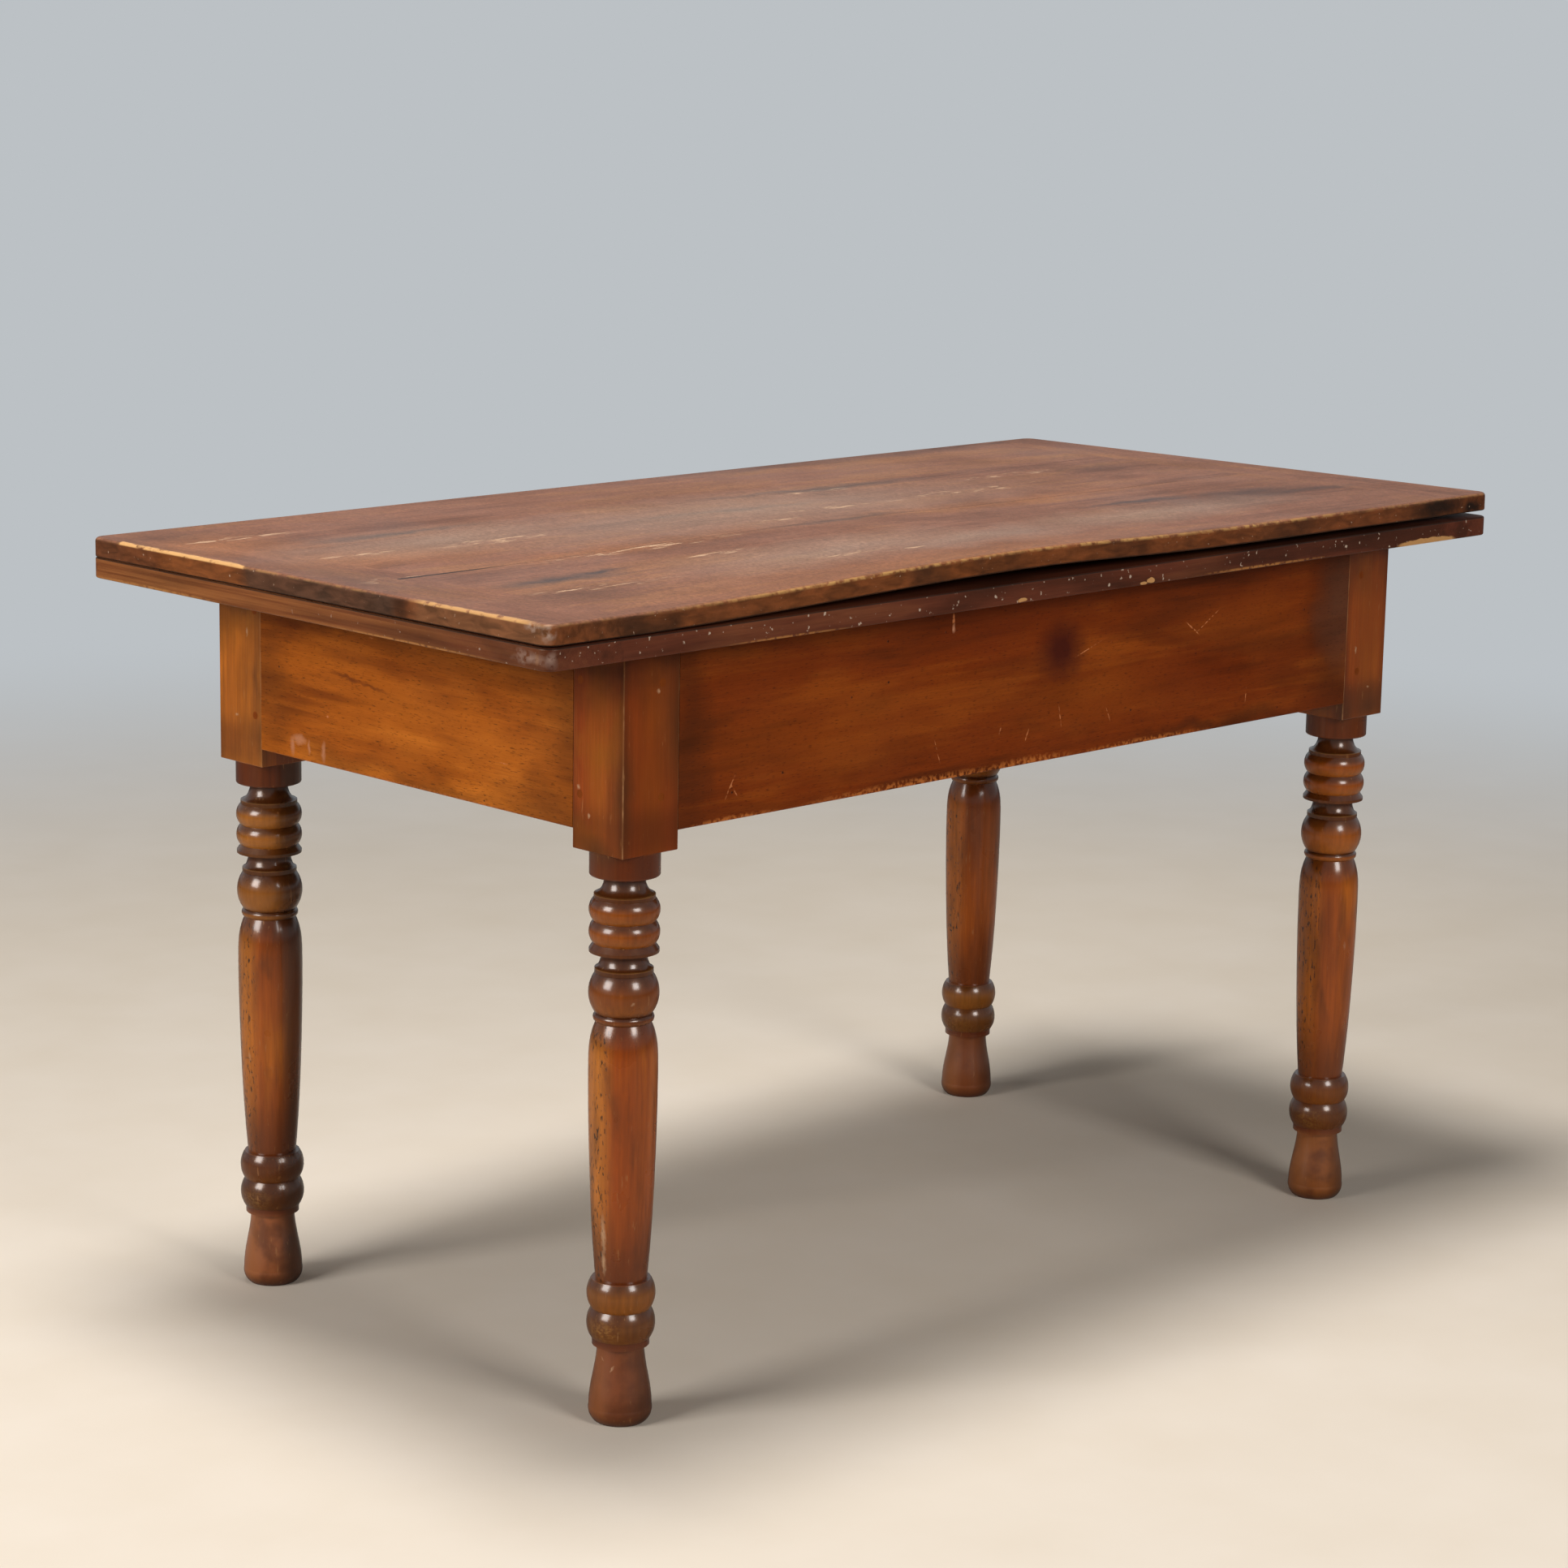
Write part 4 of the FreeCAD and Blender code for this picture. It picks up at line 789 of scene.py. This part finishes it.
def forged_iron(name, tone, rust_tone, rough_low, rough_high):
    """Old wrought iron, waxed: near black with brown rust in patches and a dull sheen where it is clean."""
    material, tree = begin(name)
    place = add(tree, "TexCoord", "Object", {})
    pits = add(tree, "TexNoise", 0, {"Vector": place, "Scale": per_mm(3), "Detail": 5.0})
    patch = add(tree, "TexNoise", 0, {"Vector": place, "Scale": per_mm(14), "Detail": 3.0})
    rusty = add(tree, "MapRange", 0, {0: patch, 1: 0.48, 2: 0.66}, interpolation_type="SMOOTHSTEP")
    metal = add(tree, "Mix", LAID, {0: pits, UNDER: colour("2b2826"), OVER: colour(tone)}, data_type="RGBA")
    metal = lay(tree, rusty, metal, rust_tone, 0.75)
    rough = add(tree, "MapRange", 0, {0: pits, 1: 0.3, 2: 0.7, 3: rough_low, 4: rough_high})
    clean = add(tree, "Math", 0, {0: 1.0, 1: rusty}, operation="SUBTRACT")
    bump = add(tree, "Bump", 0, {"Height": pits, "Distance": 0.3 * MM})
    shader = add(tree, "BsdfPrincipled", 0, {
        "Base Color": metal, "Metallic": clean, "Roughness": rough, "Normal": bump})
    add(tree, "OutputMaterial", 0, {"Surface": shader})
    return material


def wear(material, *names):
    """Give these pieces one material."""
    for name in names:
        nodes[name].data.materials.clear()
        nodes[name].data.materials.append(material)


# Each piece gets its finish

for number, end in enumerate(("front", "back")):
    for count, side in enumerate(("left", "right")):
        leg = "leg_%s_%s" % (end, side)
        low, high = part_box(leg)
        axis = ((low.x + high.x) / 2, (low.y + high.y) / 2, 0)
        seed = LEG_SEED + 7 * number + 3 * count
        wear(leg_walnut(leg + "_walnut", seed, axis, LEG_FINISHES[leg], LEG_STAINS_AND_SHADE[leg], LEG_NICKS[leg]), leg)
    wear(apron_walnut("apron_%s_walnut" % end, ALONG_X, FRONT_SEED + 8 * number, FRONT_TONES, FRONT_MARKS,
                      FRONT_LEAF_SHADE, APRON_BACK), "apron_" + end)
for count, side in enumerate(("left", "right")):
    wear(apron_walnut("apron_%s_walnut" % side, ALONG_Y, END_SEED + 8 * count, END_TONES, END_MARKS,
                      END_LEAF_SHADE, END_BACK), "apron_" + side)
for count, board in enumerate(("board_front", "board_middle", "board_rear", "cleat_left", "cleat_right")):
    grain = ALONG_Y if board.startswith("cleat") else ALONG_X
    wear(upper_leaf_walnut("upper_%s_walnut" % board, grain, UPPER_SEED + 4 * count), "upper_" + board)
    wear(lower_leaf_walnut("lower_%s_walnut" % board, grain, LOWER_SEED + 4 * count), "lower_" + board)
for count, rail in enumerate(("pivot_rail", "support_rail")):
    wear(bare_poplar(rail + "_poplar", RAIL_SEED + 6 * count), rail)
wear(peg_walnut("peg_walnut"), "tenon_pegs", "stop_peg")
hinge_iron = forged_iron("hinge_iron", tone="6a6560", rust_tone="4a2a18", rough_low=0.36, rough_high=0.6)
pivot_iron = forged_iron("pivot_iron", tone="77716b", rust_tone="52301c", rough_low=0.42, rough_high=0.7)
wear(hinge_iron, *[name for name in nodes if name.startswith("hinge_")])
wear(pivot_iron, *[name for name in nodes if name.startswith("pivot_") and name != "pivot_rail"])

# Camera, matched to the photograph's viewpoint: angles in degrees, place in metres

SENSOR_WIDTH = 36.0
PHOTO_SIZE, FOCAL_PIXELS = 1932, 4883.0
CAMERA_AZIMUTH, CAMERA_ELEVATION, CAMERA_ROLL = -44.56, 11.81, 1.02
CAMERA_PLACE = Vector((-2.9667, -2.9513, 1.3821))
azimuth, elevation, roll = (math.radians(a) for a in (CAMERA_AZIMUTH, CAMERA_ELEVATION, CAMERA_ROLL))
flat_back = Vector((math.sin(azimuth), -math.cos(azimuth), 0))
back = flat_back * math.cos(elevation) + Vector((0, 0, math.sin(elevation)))
level_right = (-back).cross(Vector((0, 0, 1))).normalized()
upright = level_right.cross(-back)
right = math.cos(roll) * level_right + math.sin(roll) * upright
up = math.cos(roll) * upright - math.sin(roll) * level_right
camera = bpy.data.objects.new("camera", bpy.data.cameras.new("camera"))
camera.data.sensor_width = SENSOR_WIDTH
camera.data.lens = SENSOR_WIDTH * FOCAL_PIXELS / PHOTO_SIZE
camera.matrix_world = Matrix.Translation(CAMERA_PLACE) @ Matrix((right, up, back)).transposed().to_4x4()
bpy.context.scene.collection.objects.link(camera)
bpy.context.scene.camera = camera

# Floor: pale screed, matt and faintly mottled, fading into the pale background

BACKDROP = "bcc1c5"
SCREED_TONES = ("d6c8b5", "dfd3c4")
FLOOR_RADIUS = 60.0
FADE_START, FADE_END = 1.5, 4.0

# How bright the floor is in reflections, and how much of the far haze lights the object
MIRRORED_FLOOR = 0.35
HAZE_LIGHT = 0.12

mesh = bpy.data.meshes.new("floor")
bm = bmesh.new()
bmesh.ops.create_circle(bm, cap_ends=True, radius=FLOOR_RADIUS, segments=64)
bm.to_mesh(mesh)
bm.free()
floor = bpy.data.objects.new("floor", mesh)
bpy.context.scene.collection.objects.link(floor)
material, tree = begin("floor_screed")
place = add(tree, "TexCoord", "Object", {})
mottle = add(tree, "TexNoise", 0, {"Vector": place, "Scale": per_mm(160), "Detail": 5.0})
warm, pale = (colour(tone) for tone in SCREED_TONES)
paint = add(tree, "Mix", LAID, {0: mottle, UNDER: warm, OVER: pale}, data_type="RGBA")
mirrored = add(tree, "LightPath", "Is Glossy Ray", {})
dimmed = add(tree, "MapRange", 0, {0: mirrored, 3: 1.0, 4: MIRRORED_FLOOR})
paint = add(tree, "VectorMath", 0, {0: paint, "Scale": dimmed}, operation="SCALE")
ground = add(tree, "BsdfPrincipled", 0, {"Base Color": paint, "Roughness": 0.75, "Specular IOR Level": 0.2})
distance = add(tree, "VectorMath", 1, {0: place}, operation="LENGTH")
far = add(tree, "MapRange", 0, {0: distance, 1: FADE_START, 2: FADE_END}, interpolation_type="SMOOTHSTEP")
seen = add(tree, "LightPath", "Is Camera Ray", {})
shine = add(tree, "Math", 0, {0: seen, 1: 1 - HAZE_LIGHT, 2: HAZE_LIGHT}, operation="MULTIPLY_ADD")
haze = add(tree, "Emission", 0, {"Color": colour(BACKDROP), "Strength": shine})
add(tree, "OutputMaterial", 0, {"Surface": add(tree, "MixShader", 0, {0: far, 1: ground, 2: haze})})
mesh.materials.append(material)


# Lamps: one broad overhead, one at the left end and one before the front. Places and sizes are in metres.

def softbox(name, place, target, size, watts):
    """Square soft lamp turned towards a point."""
    lamp = bpy.data.objects.new(name, bpy.data.lights.new(name, "AREA"))
    lamp.data.shape = "SQUARE"
    lamp.data.size = size
    lamp.data.energy = watts
    lamp.location = place
    lamp.rotation_mode = "QUATERNION"
    lamp.rotation_quaternion = (Vector(target) - Vector(place)).to_track_quat("-Z", "Y")
    bpy.context.scene.collection.objects.link(lamp)


softbox("overhead_softbox", place=(-0.55, 0.24, 5.2), target=(0, 0, 0.8), size=1.4, watts=205)
softbox("left_softbox", place=(-4.0, 0.5, 2.1), target=(0, 0, 0.55), size=1.7, watts=103)
softbox("front_softbox", place=(-0.4, -3.9, 2.3), target=(0, 0, 0.55), size=1.3, watts=70)

# World: the plain background, seen in full, dimmer in reflections and giving little light of its own

SKY_LIGHT, MIRRORED_SKY = 0.10, 0.50

world = bpy.data.worlds.new("studio")
bpy.context.scene.world = world
world.use_nodes = True
tree = world.node_tree
tree.nodes.clear()
camera_ray = add(tree, "LightPath", "Is Camera Ray", {})
glossy_ray = add(tree, "LightPath", "Is Glossy Ray", {})
through_ray = add(tree, "LightPath", "Is Transmission Ray", {})
shown = add(tree, "Math", 0, {0: camera_ray, 1: through_ray}, operation="MAXIMUM")
reflected = add(tree, "Math", 0, {0: glossy_ray, 1: MIRRORED_SKY, 2: SKY_LIGHT}, operation="MULTIPLY_ADD")
strength = add(tree, "Math", 0, {0: shown, 1: reflected}, operation="MAXIMUM")
glow = add(tree, "Background", 0, {"Color": colour(BACKDROP), "Strength": strength})
add(tree, "OutputWorld", 0, {"Surface": glow})

bpy.context.scene.view_settings.view_transform = "Standard"
